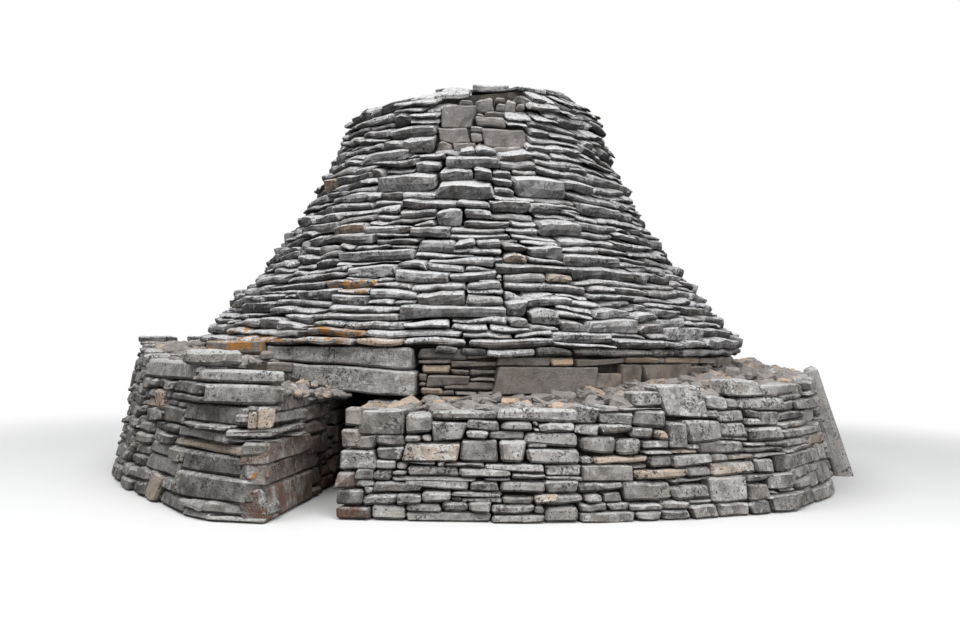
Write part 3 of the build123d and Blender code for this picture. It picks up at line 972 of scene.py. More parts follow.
def limestone_group():
    """Weathered limestone, with painted light on its skyward faces and painted shade under them: its
    colour, roughness and height, from each stone's own finish.
    """
    tree, given, result = new_tree(
        "weathered_limestone", "ShaderNodeTree",
        [
            ("Pale stone", "Color", (0.42, 0.41, 0.40, 1.0)),
            ("Dark stone", "Color", (0.13, 0.125, 0.12, 1.0)),
            ("Fresh stone", "Color", (0.62, 0.47, 0.34, 1.0)),
            ("Pale lichen", "Color", (0.62, 0.62, 0.60, 1.0)),
            ("Dark lichen", "Color", (0.025, 0.025, 0.025, 1.0)),
            ("Orange lichen", "Color", (0.52, 0.235, 0.045, 1.0)),
            ("Soil", "Color", (0.16, 0.075, 0.045, 1.0)), ("Lichen reach", "Float", 0.5),
            # the last input sets how dark downward faces are made: painted shade under the stones
            ("Spotting", "Float", 0.5), ("Underside", "Float", 0.42),
        ],
        [("Color", "Color"), ("Roughness", "Float"), ("Height", "Float")],
    )

    def attribute(name):
        """A vector that the mesh carries."""
        return put(tree, "ShaderNodeAttribute", "Vector", attribute_name=name)

    def speckle(scale, detail, roughness=0.6, squash=(1.0, 1.0, 1.0), distortion=0.0):
        """Noise that starts at a place of its own in each stone."""
        return put(
            tree, "ShaderNodeTexNoise", 0,
            {"Vector": vector_maths("MULTIPLY", own_place, squash), "Scale": scale,
             "Detail": detail, "Roughness": roughness, "Distortion": distortion},
        )

    tint, lichen, fresh = split(attribute("finish"))
    orange, soil, own = split(attribute("stain"))
    place = put(tree, "ShaderNodeTexCoord", "Object")
    own_place = vector_maths("ADD", place, vector_of(tree, own, own * 1.7))
    upward = split(put(tree, "ShaderNodeNewGeometry", "Normal"))[2]
    # The upper share of each stone: partly painted light where the sky lights its top edge, partly pale
    # worn edges
    rim = between(split(attribute("unit"))[2], 0.15, 0.95)
    # Skyward faces and upper edges: painted top light in the tone, and pale lichen that reaches farther
    # in the crust
    skyward_light_and_weathering = between(upward, -0.25, 0.75) * 0.65 + rim * 0.35

    mottle = speckle(7.0, 5.0, 0.65)
    strata = speckle(9.0, 4.0, 0.6, squash=(1.0, 1.0, 7.0))
    depth = tint * 0.45 + between(mottle, 0.33, 0.66) * 0.42 + strata * 0.20
    # Painted light: skyward faces and upper edges are made lighter
    depth = depth + (skyward_light_and_weathering - 0.18) * 0.32
    colour = blend(between(depth, 0.12, 0.98), given["Dark stone"], given["Pale stone"])
    colour = blend(between(speckle(3.1, 2.0), 0.45, 0.8) * 0.35, colour, WARM_TONE)
    colour = blend(fresh * between(mottle, 0.25, 0.5), colour, given["Fresh stone"])

    crust_edge = 0.76 - lichen * given["Lichen reach"] * 0.42 - skyward_light_and_weathering * 0.20
    crust = between(speckle(13.0, 7.0, 0.68, distortion=0.6), crust_edge, crust_edge + 0.13)
    colour = blend(crust * 0.8, colour, given["Pale lichen"])
    spot_edge = 0.80 - speckle(3.7, 3.0) * given["Spotting"] * 0.55
    spots = between(speckle(38.0, 4.0, 0.75, distortion=0.3), spot_edge, spot_edge + 0.05)
    colour = blend(spots * 0.85, colour, given["Dark lichen"])
    rust_edge = 0.86 - orange * 0.42
    rust = between(speckle(11.0, 7.0, 0.7, distortion=0.4), rust_edge, rust_edge + 0.06)
    colour = blend(rust * 0.9, colour, given["Orange lichen"])
    colour = blend(soil * between(speckle(5.0, 4.0), 0.30, 0.60), colour, given["Soil"])

    # Downward faces are made darker: painted shade under the stones, multiplied into the colour with
    # the fine grit
    underside = between(upward, -0.6, 0.35, given["Underside"], 1.0)
    grit_and_painted_shade = between(speckle(75.0, 3.0, 0.7), 0.25, 0.75, 0.78, 1.18) * underside
    colour = blend(1.0, colour, vector_of(tree, grit_and_painted_shade, grit_and_painted_shade, grit_and_painted_shade), "MULTIPLY")
    pits = put(
        tree, "ShaderNodeTexVoronoi", "Distance",
        {"Vector": own_place, "Scale": 46.0, "Randomness": 1.0}, feature="F1",
    )
    height = speckle(17.0, 8.0, 0.72) + strata * 0.55 + between(pits, 0.0, 0.42) * 0.22
    link(colour, result, "Color")
    link(between(mottle, 0.2, 0.8, 0.82, 0.97), result, "Roughness")
    link(height + crust * 0.06, result, "Height")
    return tree


def limestone(name, pale, dark, reach, spotting, relief=0.018, **others):
    """A finish of the hut's limestone: two tones, the reach of its lichen and its dark spots."""
    material = bpy.data.materials.new(name)
    material.use_nodes = True
    tree = material.node_tree
    shader = tree.nodes["Principled BSDF"]
    shader.inputs["Specular IOR Level"].default_value = 0.25
    colour = put(tree, "ShaderNodeGroup", "Color", node_tree=LIMESTONE)
    stone = colour.socket.node
    values = {
        "Pale stone": (*pale, 1.0), "Dark stone": (*dark, 1.0), "Lichen reach": reach,
        "Spotting": spotting, **others,
    }
    for key, value in values.items():
        stone.inputs[key.replace("_", " ")].default_value = value
    height = Wire(stone.outputs["Height"])
    bump = {"Height": height, "Distance": relief, "Strength": 1.0}
    link(colour, shader, "Base Color")
    link(Wire(stone.outputs["Roughness"]), shader, "Roughness")
    link(put(tree, "ShaderNodeBump", "Normal", bump), shader, "Normal")
    return material


VAULT_STONES = 30.0  # in the vault's lowest course
VAULT_FEWER = 0.85  # how many fewer stones each course up has
COURSE_SHIFT = 0.37  # how far each course's joints go on from those below, in stones
JOINT_WIDTHS = (0.004, 0.016)  # how far from its middle a joint is darkest, and where it ends


def jointed_vault(*look, **others):
    """The vault's limestone, with a dark joint and a tone of its own for each stone of a course."""
    material = limestone("vault_limestone", *look, **others)
    tree = material.node_tree
    shader = tree.nodes["Principled BSDF"]
    low, high = (corner[2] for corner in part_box("vault_ring_1"))
    course = (high - low) / VAULT_COURSES
    place = put(tree, "ShaderNodeTexCoord", "Object")
    x, y, z = split(place)
    x = x - AXIS_X
    turn = maths("ARCTAN2", y, x) / (2 * pi)
    rise = (z - (SPRINGING - 1e-3)) / course
    row = maths("FLOOR", rise)
    count = maths("FLOOR", row * -VAULT_FEWER + VAULT_STONES)
    along = row * COURSE_SHIFT + turn * count
    number = vector_of(tree, maths("FLOOR", along), row)
    tone = put(tree, "ShaderNodeTexWhiteNoise", "Value", {"Vector": number})
    width = maths("SQRT", x * x + y * y) * (2 * pi) / count
    flat = maths("ABSOLUTE", split(put(tree, "ShaderNodeNewGeometry", "Normal"))[2])
    to_bed = maths("PINGPONG", rise, 0.5) * course + flat
    to_joint = maths("MINIMUM", maths("PINGPONG", along, 0.5) * width, to_bed)
    wobble = put(tree, "ShaderNodeTexNoise", 0, {"Vector": place, "Scale": 9.0, "Detail": 3.0})
    joint = between((wobble - 0.5) * 0.03 + to_joint, *JOINT_WIDTHS, 0.10, 1.0)
    light = joint * (tone * 0.9 + 0.75)
    colour = Wire(shader.inputs["Base Color"].links[0].from_socket)
    link(blend(1.0, colour, vector_of(tree, light, light, light), "MULTIPLY"), shader, "Base Color")
    return material


# Plain hearts behind the stones, most of them near black: painted shade for the deep joints


def plain_piece(name, points, faces, material):
    """A piece from its points and faces, which are turned outwards."""
    mesh = bpy.data.meshes.new(name)
    mesh.from_pydata([tuple(point) for point in points], [], faces)
    mesh.materials.append(material)
    work = bmesh.new()
    work.from_mesh(mesh)
    bmesh.ops.recalc_face_normals(work, faces=work.faces)
    work.to_mesh(mesh)
    work.free()
    return finished_piece(name, mesh)


def swept_heart(name, sections, material, closed=False):
    """A closed mesh through sections that each have the same number of points."""
    count = len(sections[0])
    faces = []
    for i in range(len(sections) if closed else len(sections) - 1):
        j = (i + 1) % len(sections)
        for k in range(count):
            m = (k + 1) % count
            faces.append((i * count + k, i * count + m, j * count + m, j * count + k))
    if not closed:
        faces.append(tuple(range(count - 1, -1, -1)))
        faces.append(tuple((len(sections) - 1) * count + k for k in range(count)))
    return plain_piece(name, [point for row in sections for point in row], faces, material)


def joined(name, pieces):
    """Several pieces of one material as one."""
    work = bmesh.new()
    for piece in pieces:
        work.from_mesh(piece.data)
    mesh = bpy.data.meshes.new(name)
    work.to_mesh(mesh)
    work.free()
    mesh.materials.append(pieces[0].data.materials[0])
    for piece in pieces:
        bpy.data.objects.remove(piece)
    return finished_piece(name, mesh)


# The ring wall, its bastion and the passage between its ends


def front_corner(x, first, second):
    """Where the passage's face at x meets the ring's foot between two corners of its outline."""
    a, b = (polar(azimuth, DRUM_OUTER + reach)[:2] for azimuth, reach, _ in (first, second))
    share = (AXIS_X + x - a[0]) / (b[0] - a[0])
    return a + (b - a) * share


def drum_meets(x, radius):
    """Where the passage's face at x meets the drum."""
    return np.array((AXIS_X + x, -(radius ** 2 - x ** 2) ** 0.5))


CORNER_TOP = 1.10  # the bastion's height at the corner that it makes with the passage
BASTION_ROUNDING = 0.36  # how far along its two faces the bastion's own corner is rounded
PASSAGE_ROUNDING = 0.26  # the same where the bastion meets the passage
CURVE_POINTS = 5  # in a rounded corner
HEART_CUT = 0.36  # how far along its two faces the heart's corner is cut behind the bastion's
MOUTH_DRAW = 0.06  # how far the stones at the passage's right corner reach into it


def round_corner(before, corner, after, size, points=CURVE_POINTS):
    """Points of a curve in place of a corner, which starts and ends a little way along its legs."""
    first, last = (
        corner + (end - corner) / np.linalg.norm(end - corner) * size for end in (before, after)
    )
    shares = np.linspace(0.0, 1.0, points)
    return [first * (1 - t) ** 2 + corner * 2 * t * (1 - t) + last * t * t for t in shares]


def ring_path(rounded=True):
    """From the right jamb out through the passage, round the ring, and back in to the left jamb."""
    right = front_corner(REVEAL_RIGHT - MOUTH_DRAW, RING_OUTLINE[0], RING_OUTLINE[1])
    left = front_corner(REVEAL_LEFT, RING_OUTLINE[-2], RING_OUTLINE[-1])
    points = [drum_meets(REVEAL_RIGHT, DRUM_INNER), drum_meets(REVEAL_RIGHT, DRUM_OUTER), right]
    tops = [DOOR_HEIGHT, RING_OUTLINE[0][2] + 0.02, RING_OUTLINE[0][2]]
    for azimuth, reach, height in RING_OUTLINE[1:-2]:
        points.append(polar(azimuth, DRUM_OUTER + reach)[:2])
        tops.append(height)
    azimuth, reach, height = RING_OUTLINE[-2]
    at_drum = drum_meets(REVEAL_LEFT, DRUM_OUTER)
    bastion = polar(azimuth, DRUM_OUTER + reach)[:2]
    curves = []
    if rounded:
        start = len(points)
        points += round_corner(points[-1], bastion, left, BASTION_ROUNDING)
        points += round_corner(bastion, left, at_drum, PASSAGE_ROUNDING)
        tops += [height] * CURVE_POINTS + [CORNER_TOP] * CURVE_POINTS
        middle, last = start + CURVE_POINTS - 1, start + 2 * CURVE_POINTS - 1
        curves = [(start, middle, start - 1, middle), (middle + 1, last, middle, last)]
    else:
        points += [bastion, left]
        tops += [height, CORNER_TOP]
    points += [at_drum, at_drum + (0.0, 0.02), drum_meets(REVEAL_LEFT, DRUM_INNER)]
    tops += [DOOR_HEIGHT + 0.02, DOOR_HEIGHT, DOOR_HEIGHT]
    legs = len(points) - 1
    batters = [0.0, 0.0] + [BATTER] * (legs - 5) + [0.0, 0.0, 0.0]
    return FacePath(points, tops, batters, curves=curves)


BASTION_START = 318.0  # the azimuth from which the ring is laid with the bastion's stones
FOOT_HEIGHT = 0.12  # stones that start lower are the ring's foot
RING_STONES = Sizes(0.112, 0.36, 0.045, 0.23, 2.5, 0.14, 0.62, 0.55, 0.10)
FOOT_STONES = Sizes(0.150, 0.28, 0.07, 0.26, 2.3, 0.20, 0.70, 0.55, 0.08)
BASTION_STONES = Sizes(0.125, 0.34, 0.05, 0.22, 2.7, 0.18, 0.75, 0.60, 0.08)
REVEAL_STONES = Sizes(0.120, 0.30, 0.06, 0.22, 2.2, 0.18, 0.55, 0.70)
DRUM_STONES = Sizes(0.105, 0.34, 0.045, 0.20, 3.0, 0.16, 0.75, 0.65)
ROOM_STONES = Sizes(0.150, 0.25, 0.08, 0.26, 2.3, 0.20, 0.70, 0.60)


def azimuth_of(point):
    """Azimuth of a point, from -10 up to 350."""
    return wrapped(degrees(atan2(point[0] - AXIS_X, -point[1])), -10.0)


def ring_and_reveals():
    """Every stone of the ring wall and of the passage's two faces, by the node it stands for."""
    rng = random.Random(11)
    path = ring_path()
    front_right, front_left = path.stations[2], path.stations[-4]
    drum_right, drum_left = path.stations[1], path.stations[-3]

    def sizes_at(s, z):
        """What the stones of this place of the wall measure."""
        if not front_right < s < front_left:
            return REVEAL_STONES
        if azimuth_of(path.at(s)) > BASTION_START:
            return BASTION_STONES
        return FOOT_STONES if z < FOOT_HEIGHT else RING_STONES

    def top_at(s):
        """The wall's height, a little uneven."""
        return path.top(s) + 0.035 * wander(s * 1.7, 0.0, 3.0)

    nodes = {}
    placed = placed_stones(BASTION_BLOCKS + FRONT_BLOCKS, path.seen, corners=path.corners)
    for cell in lay(rng, path.length, sizes_at, top_at, corners=path.corners, placed=placed):
        middle = (cell[0] + cell[1]) / 2
        depth = rng.uniform(0.24, 0.34)
        proud = rng.uniform(-0.04, 0.018)
        stone = worn(rng, stone_on_path(rng, path, cell, depth, proud), RING_WEAR)
        in_passage = not front_right < middle < front_left
        weather(rng, stone, "reveal" if in_passage else "ring", cell[6])
        if middle < drum_right:
            name = "door_jamb_right"
        elif middle > drum_left:
            name = "door_jamb_left"
        elif middle < front_right:
            name = "passage_wall_right"
        elif middle > front_left:
            name = "passage_wall_left"
        else:
            azimuth = azimuth_of(stone.centre())
            name = RING_NAMES[max(start for start in RING_NAMES if start <= azimuth)]
        nodes.setdefault(name, []).append(stone)
    return nodes


def mitred(points, distance):
    """A line in plan moved to its left by a distance, mitred at its corners."""
    legs = [(b - a) / np.linalg.norm(b - a) for a, b in zip(points, points[1:])]
    lefts = [np.array((-leg[1], leg[0])) for leg in legs]
    moved = []
    for point, before, after in zip(points, lefts[:1] + lefts, lefts + lefts[-1:]):
        middle = (before + after) / np.linalg.norm(before + after)
        moved.append(point + middle * distance / (middle @ before))
    return moved


def ring_heart():
    """The plain masonry right behind the ring's stones."""
    path = ring_path(rounded=False)
    recess = HEART_RECESS + 0.05
    line = path.points[2:-3]
    tops = [top - 0.07 for top in path.tops[2:-3]]
    for end, beside in ((0, 1), (-1, -2)):
        leg = line[beside] - line[end]
        line[end] = line[end] + leg / np.linalg.norm(leg) * recess
    line[-2:-1] = round_corner(*line[-3:], HEART_CUT, 2)
    tops[-2:-1] = [tops[-2]] * 2
    feet = mitred(line, recess)
    backs = mitred(line, FACING_DEPTH + 0.02)
    sections = []
    for i, top in enumerate(tops):
        crest = mitred(line, recess + BATTER * top)[i]
        sections.append([(*feet[i], 0.0), (*crest, top), (*backs[i], top), (*backs[i], 0.0)])
    return swept_heart("ring_heart", sections, PAINTED_SHADE_HEART)


def passage_hearts():
    """The masonry behind the passage's two faces, out to the terrace fill."""
    right_x = REVEAL_RIGHT + HEART_RECESS
    left_x = REVEAL_LEFT - HEART_RECESS
    drum = DRUM_OUTER - HEART_RECESS
    behind = FACING_DEPTH - 0.1
    front_right = front_corner(right_x, RING_OUTLINE[0], RING_OUTLINE[1]) + (0.0, behind)
    front_left = front_corner(left_x, RING_OUTLINE[-2], RING_OUTLINE[-1]) + (0.0, behind)
    right_end, left_end = RING_OUTLINE[1], RING_OUTLINE[-2]
    right_plan = [
        front_right, polar(right_end[0], DRUM_OUTER + right_end[1] - behind)[:2],
        polar(right_end[0], drum)[:2], drum_meets(right_x, drum),
    ]
    left_plan = [
        polar(left_end[0], DRUM_OUTER + left_end[1] - behind)[:2], front_left,
        drum_meets(left_x, drum), polar(left_end[0] - 9.0, drum)[:2],
    ]
    return joined("passage_hearts", [
        swept_heart("heart", [[(*point, z) for point in plan] for z in (0.0, top)], FILL)
        for plan, top in ((right_plan, RING_OUTLINE[0][2] - 0.02), (left_plan, DOOR_HEIGHT - 0.05))
    ])


# Drum wall

LINTEL_AZIMUTH = degrees(asin(PASSAGE_X / DRUM_OUTER))
LINTEL_FACE = DRUM_OUTER + 0.03
FRONT_LINTEL_DEPTH = 0.43
LINTEL_RIGHT = 0.69
LOWER_LINTEL_LEFT = 0.76
UPPER_LINTEL_LEFT = 0.93
BESIDE_LINTELS_Y = -2.95  # where the faces of the stones beside the lintels lie
LOWER_LINTEL_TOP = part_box("door_lintel_lower")[1][2]
BACK_LINTEL_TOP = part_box("door_lintel_middle")[1][2]
BACK_LINTEL_HALF = 0.625


def lintel_point(reach, distance, height):
    """A point along the lintels: right of the passage's middle, out from the axis, up."""
    turn = radians(LINTEL_AZIMUTH)
    middle = (PASSAGE_X - distance * sin(turn)) / cos(turn)
    x = distance * sin(turn) + (middle + reach) * cos(turn)
    y = -distance * cos(turn) + (middle + reach) * sin(turn)
    return (AXIS_X + x, y, height)


def lintel_stone(face, depth, left, right, bottoms, tops):
    """A long stone over the passage, from how high its underside and top lie at its two ends."""
    corners = []
    for heights, draw in ((bottoms, 0.0), (tops, 0.012)):
        for distance in (face - draw, face - depth):
            for reach, height in zip((-left, right), heights):
                corners.append(lintel_point(reach, distance, height))
    return Stone(corners, rough=0.06, bevel=0.022)


def lintels():
    """The two stones that show over the doorway, and the two behind them."""
    rng = random.Random(23)
    back_face = LINTEL_FACE - FRONT_LINTEL_DEPTH
    back_depth = (back_face - DRUM_INNER) / 2
    lower = lintel_stone(
        LINTEL_FACE, FRONT_LINTEL_DEPTH, LOWER_LINTEL_LEFT, LINTEL_RIGHT,
        (DOOR_HEIGHT + 0.06, DOOR_HEIGHT), (LOWER_LINTEL_TOP + 0.045, LOWER_LINTEL_TOP - 0.006),
    )
    upper = lintel_stone(
        LINTEL_FACE - 0.01, FRONT_LINTEL_DEPTH, UPPER_LINTEL_LEFT, LINTEL_RIGHT - 0.03,
        (LOWER_LINTEL_TOP + 0.075, LOWER_LINTEL_TOP + 0.006), (SPRINGING - 0.015, SPRINGING - 0.008),
    )
    middle, inner = (
        lintel_stone(
            back_face - i * back_depth - 0.01, back_depth - 0.02, BACK_LINTEL_HALF,
            BACK_LINTEL_HALF, [DOOR_HEIGHT] * 2, [BACK_LINTEL_TOP] * 2,
        )
        for i in range(2)
    )
    for stone in (lower, upper, middle, inner):
        weather(rng, stone, "lintel")
        stone.tint, stone.lichen = 1.05, 0.95
    upper.orange = 0.42
    lower.orange = 0.08
    return {
        "door_lintel_lower": [lower], "door_lintel_upper": [upper],
        "door_lintel_middle": [middle], "door_lintel_inner": [inner],
    }


def drum_path(start, end, radius, top):
    """The drum's line between two azimuths, on its flat bays."""
    step = BAY if end > start else -BAY
    azimuths = [start, *np.arange(step * (start // step + 1), end, step), end]
    points = [polar(a, radius / cos(radians(a % BAY - BAY / 2)))[:2] for a in azimuths]
    return FacePath(points, [top] * len(points), [0.0] * (len(points) - 1))


def drum_stones():
    """The drum's stones that show over the terrace, by the node they stand for."""
    rng = random.Random(31)
    nodes = {}
    for node, start, end, bottom in (
        ("drum_wall_right", lintel_end(1), 120.0, 0.80), ("drum_wall_back", 120.0, 225.0, 1.05),
        ("drum_wall_left", 225.0, lintel_end(-1), 1.10),
    ):
        path = drum_path(start, end, DRUM_OUTER, DRUM_HEIGHT)
        placed = placed_stones(DRUM_BLOCKS, path.seen)
        for cell in lay(rng, path.length, lambda s, z: DRUM_STONES, lambda s: DRUM_HEIGHT - 0.004,
                        bottom, placed=placed):
            proud = rng.uniform(-0.03, 0.012)
            stone = stone_on_path(rng, path, cell, rng.uniform(0.24, 0.32), proud)
            worn(rng, stone, DRUM_WEAR)
            azimuth = azimuth_of(stone.centre())
            near_door = azimuth < DOOR_BAY[1] or azimuth > DOOR_BAY[0] + 360.0
            name = "masonry_over_door" if near_door else node
            nodes.setdefault(name, []).append(weather(rng, stone, "drum", cell[6]))
    for left, top, right, bottom, mark in BESIDE_LINTELS:
        corners = [
            seen_upright(across, down, BESIDE_LINTELS_Y) + (0.0, behind, 0.0)
            for down in (bottom, top) for behind in (0.0, 0.34) for across in (left, right)
        ]
        stone = Stone(corners, rough=0.05, bevel=0.02)
        nodes["drum_wall_left"].append(weather(rng, stone, "drum", mark))
    return nodes


def seen_upright(across, down, y):
    """The point that the camera sees at a pixel, on the upright plane at y."""
    ray = sight(across, down)
    return np.array(CAMERA_PLACE) + ray * (y - CAMERA_PLACE.y) / ray[1]


def lintel_end(side):
    """The azimuth just beyond the lintels' right (1) or left (-1) end."""
    reach = LINTEL_RIGHT if side > 0 else -UPPER_LINTEL_LEFT
    return azimuth_of(lintel_point(reach, LINTEL_FACE, 0.0)) + 0.2 * side


def room_stones():
    """The drum's inner face, which the doorway and a look up into the vault show."""
    rng = random.Random(37)
    right = azimuth_of(drum_meets(REVEAL_RIGHT, DRUM_INNER)) - 360.0
    left = azimuth_of(drum_meets(REVEAL_LEFT, DRUM_INNER)) - 360.0
    stretches = [
        ("drum_wall_left", left, -135.0, 0.0), ("drum_wall_back", -135.0, -240.0, 0.0),
        ("drum_wall_right", -240.0, right - 360.0, 0.0),
        ("masonry_over_door", right, left, BACK_LINTEL_TOP),
    ]
    nodes = {}
    for name, start, end, bottom in stretches:
        path = drum_path(start, end, DRUM_INNER, SPRINGING)
        for cell in lay(rng, path.length, lambda s, z: ROOM_STONES, lambda s: SPRINGING, bottom):
            depth = rng.uniform(0.24, 0.32)
            stone = stone_on_path(rng, path, cell, depth, rng.uniform(-0.025, 0.0))
            nodes.setdefault(name, []).append(weather(rng, stone, "room"))
    return nodes


def arc_heart(name, start, end, inner, outer, bottom, top, ends=(None, None)):
    """The drum's heart between two azimuths, or between a passage face and an azimuth."""
    azimuths = [BAY * i for i in range(-12, 48) if start + 0.5 < BAY * i < end - 0.5]
    to_corner = 1 / cos(radians(BAY / 2))
    rows = [(polar(a, inner * to_corner)[:2], polar(a, outer * to_corner)[:2]) for a in azimuths]
    for x, place in zip(ends, (0, len(rows) + 1)):
        azimuth = start if place == 0 else end
        if x is None:
            row = (polar(azimuth, inner)[:2], polar(azimuth, outer)[:2])
        else:
            row = (drum_meets(x, inner), drum_meets(x, outer))
        rows.insert(place, row)
    sections = [
        [(*near, bottom), (*far, bottom), (*far, top), (*near, top)] for near, far in rows
    ]
    return swept_heart(name, sections, PAINTED_SHADE_HEART)


def drum_heart():
    """The drum's plain masonry: up to the lintels, beside them, and over the back ones."""
    inner, outer = DRUM_INNER + HEART_RECESS, DRUM_OUTER - HEART_RECESS
    right_x, left_x = REVEAL_RIGHT + HEART_RECESS, REVEAL_LEFT - HEART_RECESS
    right_foot = azimuth_of(drum_meets(right_x, outer))
    left_foot = azimuth_of(drum_meets(left_x, inner))
    right_end = azimuth_of(lintel_point(LINTEL_RIGHT + 0.05, LINTEL_FACE, 0.0))
    left_end = azimuth_of(lintel_point(-UPPER_LINTEL_LEFT - 0.05, LINTEL_FACE, 0.0))
    back = LINTEL_FACE - FRONT_LINTEL_DEPTH - 0.03
    head = DOOR_HEIGHT - 0.01
    over = BACK_LINTEL_TOP + 0.02
    return joined("drum_heart", [
        arc_heart("foot", right_foot, left_foot, inner, outer, 0.0, head, (right_x, left_x)),
        arc_heart("head", right_end, left_end, inner, outer, head, DRUM_HEIGHT + 0.02),
        arc_heart("over_door", left_end - 360.0, right_end, inner, back, over, SPRINGING - 0.01),
    ])


# Roof

SLUMP_AZIMUTH = 275.0  # the side on which the top has slumped
SLUMP_RUN = 0.55  # how much narrower the cone's top is there
SLUMP_BASE = SPRINGING + TIER_HEIGHT * (TIERS - 1)
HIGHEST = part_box("crown_slabs")[1][2]
SEAM_OVERLAP = 0.16  # how far the flags may run past the line at the back where the laying ends
SIGHT_START = 8.0  # how far from the camera the search for the roof starts
SIGHT_STEP = 0.015
SIGHT_STEPS = 400
CORE_RECESS = 0.10  # how far the bared core stands behind the flags that are left
BARED = {TIERS - 2: (-8.5, 20.0), TIERS - 1: (-9.0, 35.0)}  # from and to which azimuth, by tier
EAVE_DIP = 5.0  # how steeply the flags fall outwards at the eave, in degrees
TOP_DIP = 21.0  # how much more at the top
SIDE_DIP = 10.0  # how much more again on the side at SIDE_AZIMUTH
SIDE_AZIMUTH = 95.0
FALL_AZIMUTH = -35.0  # the side on which the top has come down
FALL_SPREAD = 52.0
FALL_HEIGHT = 0.20


def roof_nose(azimuth, height):
    """The radius of the flags' noses, which is less where the top has slumped."""
    radius = roof_radius(height)
    aside = cos(radians(azimuth - SLUMP_AZIMUTH))
    if height > SLUMP_BASE and aside > 0.15:
        share = (height - SLUMP_BASE) / (ROOF_TOP - SLUMP_BASE)
        reach = roof_radius(SLUMP_BASE) * (1 - share) + (ROOF_TOP_RADIUS - SLUMP_RUN) * share
        radius = min(radius, reach / aside)
    return radius


def dip(azimuth, height):
    """How steeply the flags fall outwards, in degrees: more towards the top and the right."""
    share = (height - SPRINGING) / (ROOF_TOP - SPRINGING)
    return EAVE_DIP + share * (TOP_DIP + SIDE_DIP * cos(radians(azimuth - SIDE_AZIMUTH)))


def flags_end(azimuth):
    """How high the flags' noses go on: less at the front, where the top has come down."""
    back = 0.26 * tan(radians(dip(azimuth, ROOF_TOP)))
    come_down = FALL_HEIGHT * exp(-(wrapped(azimuth - FALL_AZIMUTH) / FALL_SPREAD) ** 2)
    return HIGHEST - 0.03 - back - come_down + 0.025 * wander(azimuth / 9.0)


def bared(azimuth, height):
    """Whether the flags have come away here, at the front of the top."""
    ragged = 4.5 * wander(height * 5.0, azimuth * 0.05, 9.0)
    azimuth = wrapped(azimuth) + ragged
    first, last = BARED.get(min(int((height - SPRINGING) / TIER_HEIGHT), TIERS - 1), (0.0, 0.0))
    return first < azimuth < last


def seen_on_roof(across, down):
    """Where the camera sees the roof at a pixel: the share of a turn, and how high."""
    ray = sight(across, down)
    for step in range(SIGHT_STEPS):
        point = np.array(CAMERA_PLACE) + ray * (SIGHT_START + SIGHT_STEP * step)
        azimuth = degrees(atan2(point[0] - AXIS_X, -point[1]))
        recess = CORE_RECESS if bared(azimuth, point[2]) else 0.0
        if np.hypot(point[0] - AXIS_X, point[1]) < roof_nose(azimuth, point[2]) - recess:
            return (azimuth + 180.0) / 360.0, point[2]
    return None


def roof_sizes(s, z):
    """Long flags at the eave, shorter ones above, rough blocks where the flags have gone."""
    if bared(s * 360.0 - 180.0, z + 0.02):
        return Sizes(0.105, 0.35, 0.05, 0.20, 2.1, 0.10, 0.40, 0.2)
    share = (z - SPRINGING) / (ROOF_TOP - SPRINGING)
    slenderness = 5.6 - 2.0 * share
    return Sizes(0.092, 0.28, 0.045, 0.165, slenderness, 0.16, 1.02 - 0.36 * share, 0.62, 0.22)


FLAG_GAP = 0.010  # the open joint round a flag


def flag(rng, cell, nose, depth, steepness, proud):
    """One flag of the roof from its cell on the cone: it dips outwards and overhangs a little."""
    left, right, low_left, low_right, high_left, high_right = cell[:6]
    thickness = (high_left + high_right - low_left - low_right) / 2
    fall = tan(radians(steepness))
    tread = max(nose - roof_radius(min(high_left, ROOF_TOP)), 0.0)
    rise = min(depth * fall, HIGHEST - 0.012 - max(high_left, high_right))
    undercut = rng.uniform(0.002, 0.026) + thickness * sin(radians(steepness))
    outs = [nose + proud + rng.uniform(-0.02, 0.02) for _ in range(2)]
    aside = [rng.uniform(-0.05, 0.05) for _ in range(2)]
    skew = [rng.uniform(-0.15, 0.15) * thickness for _ in range(2)]
    openings = [FLAG_GAP * rng.uniform(0.3, 1.9) for _ in range(2)]
    corners = []
    lift, sink = undercut * fall, 0.7 * tread * fall
    for high, z_left, z_right in (
        (-1, low_left + FLAG_GAP * 0.4 + lift, low_right + FLAG_GAP * 0.4 + lift),
        (1, high_left - FLAG_GAP * 0.6 - sink, high_right - FLAG_GAP * 0.6 - sink),
    ):
        fronts, backs = [], []
        for end, (s, z) in enumerate(((left, z_left), (right, z_right))):
            out = outs[end] - (undercut if high < 0 else 0.0)
            inward = openings[end] if end == 0 else -openings[end]
            azimuth = s * 360.0 - 180.0 + degrees((inward + skew[end] * high) / nose)
            fronts.append(polar(azimuth, out, z))
            backs.append(polar(azimuth + degrees(aside[end] / nose), nose - depth, z + rise))
        corners += fronts + backs
    return Stone(corners)


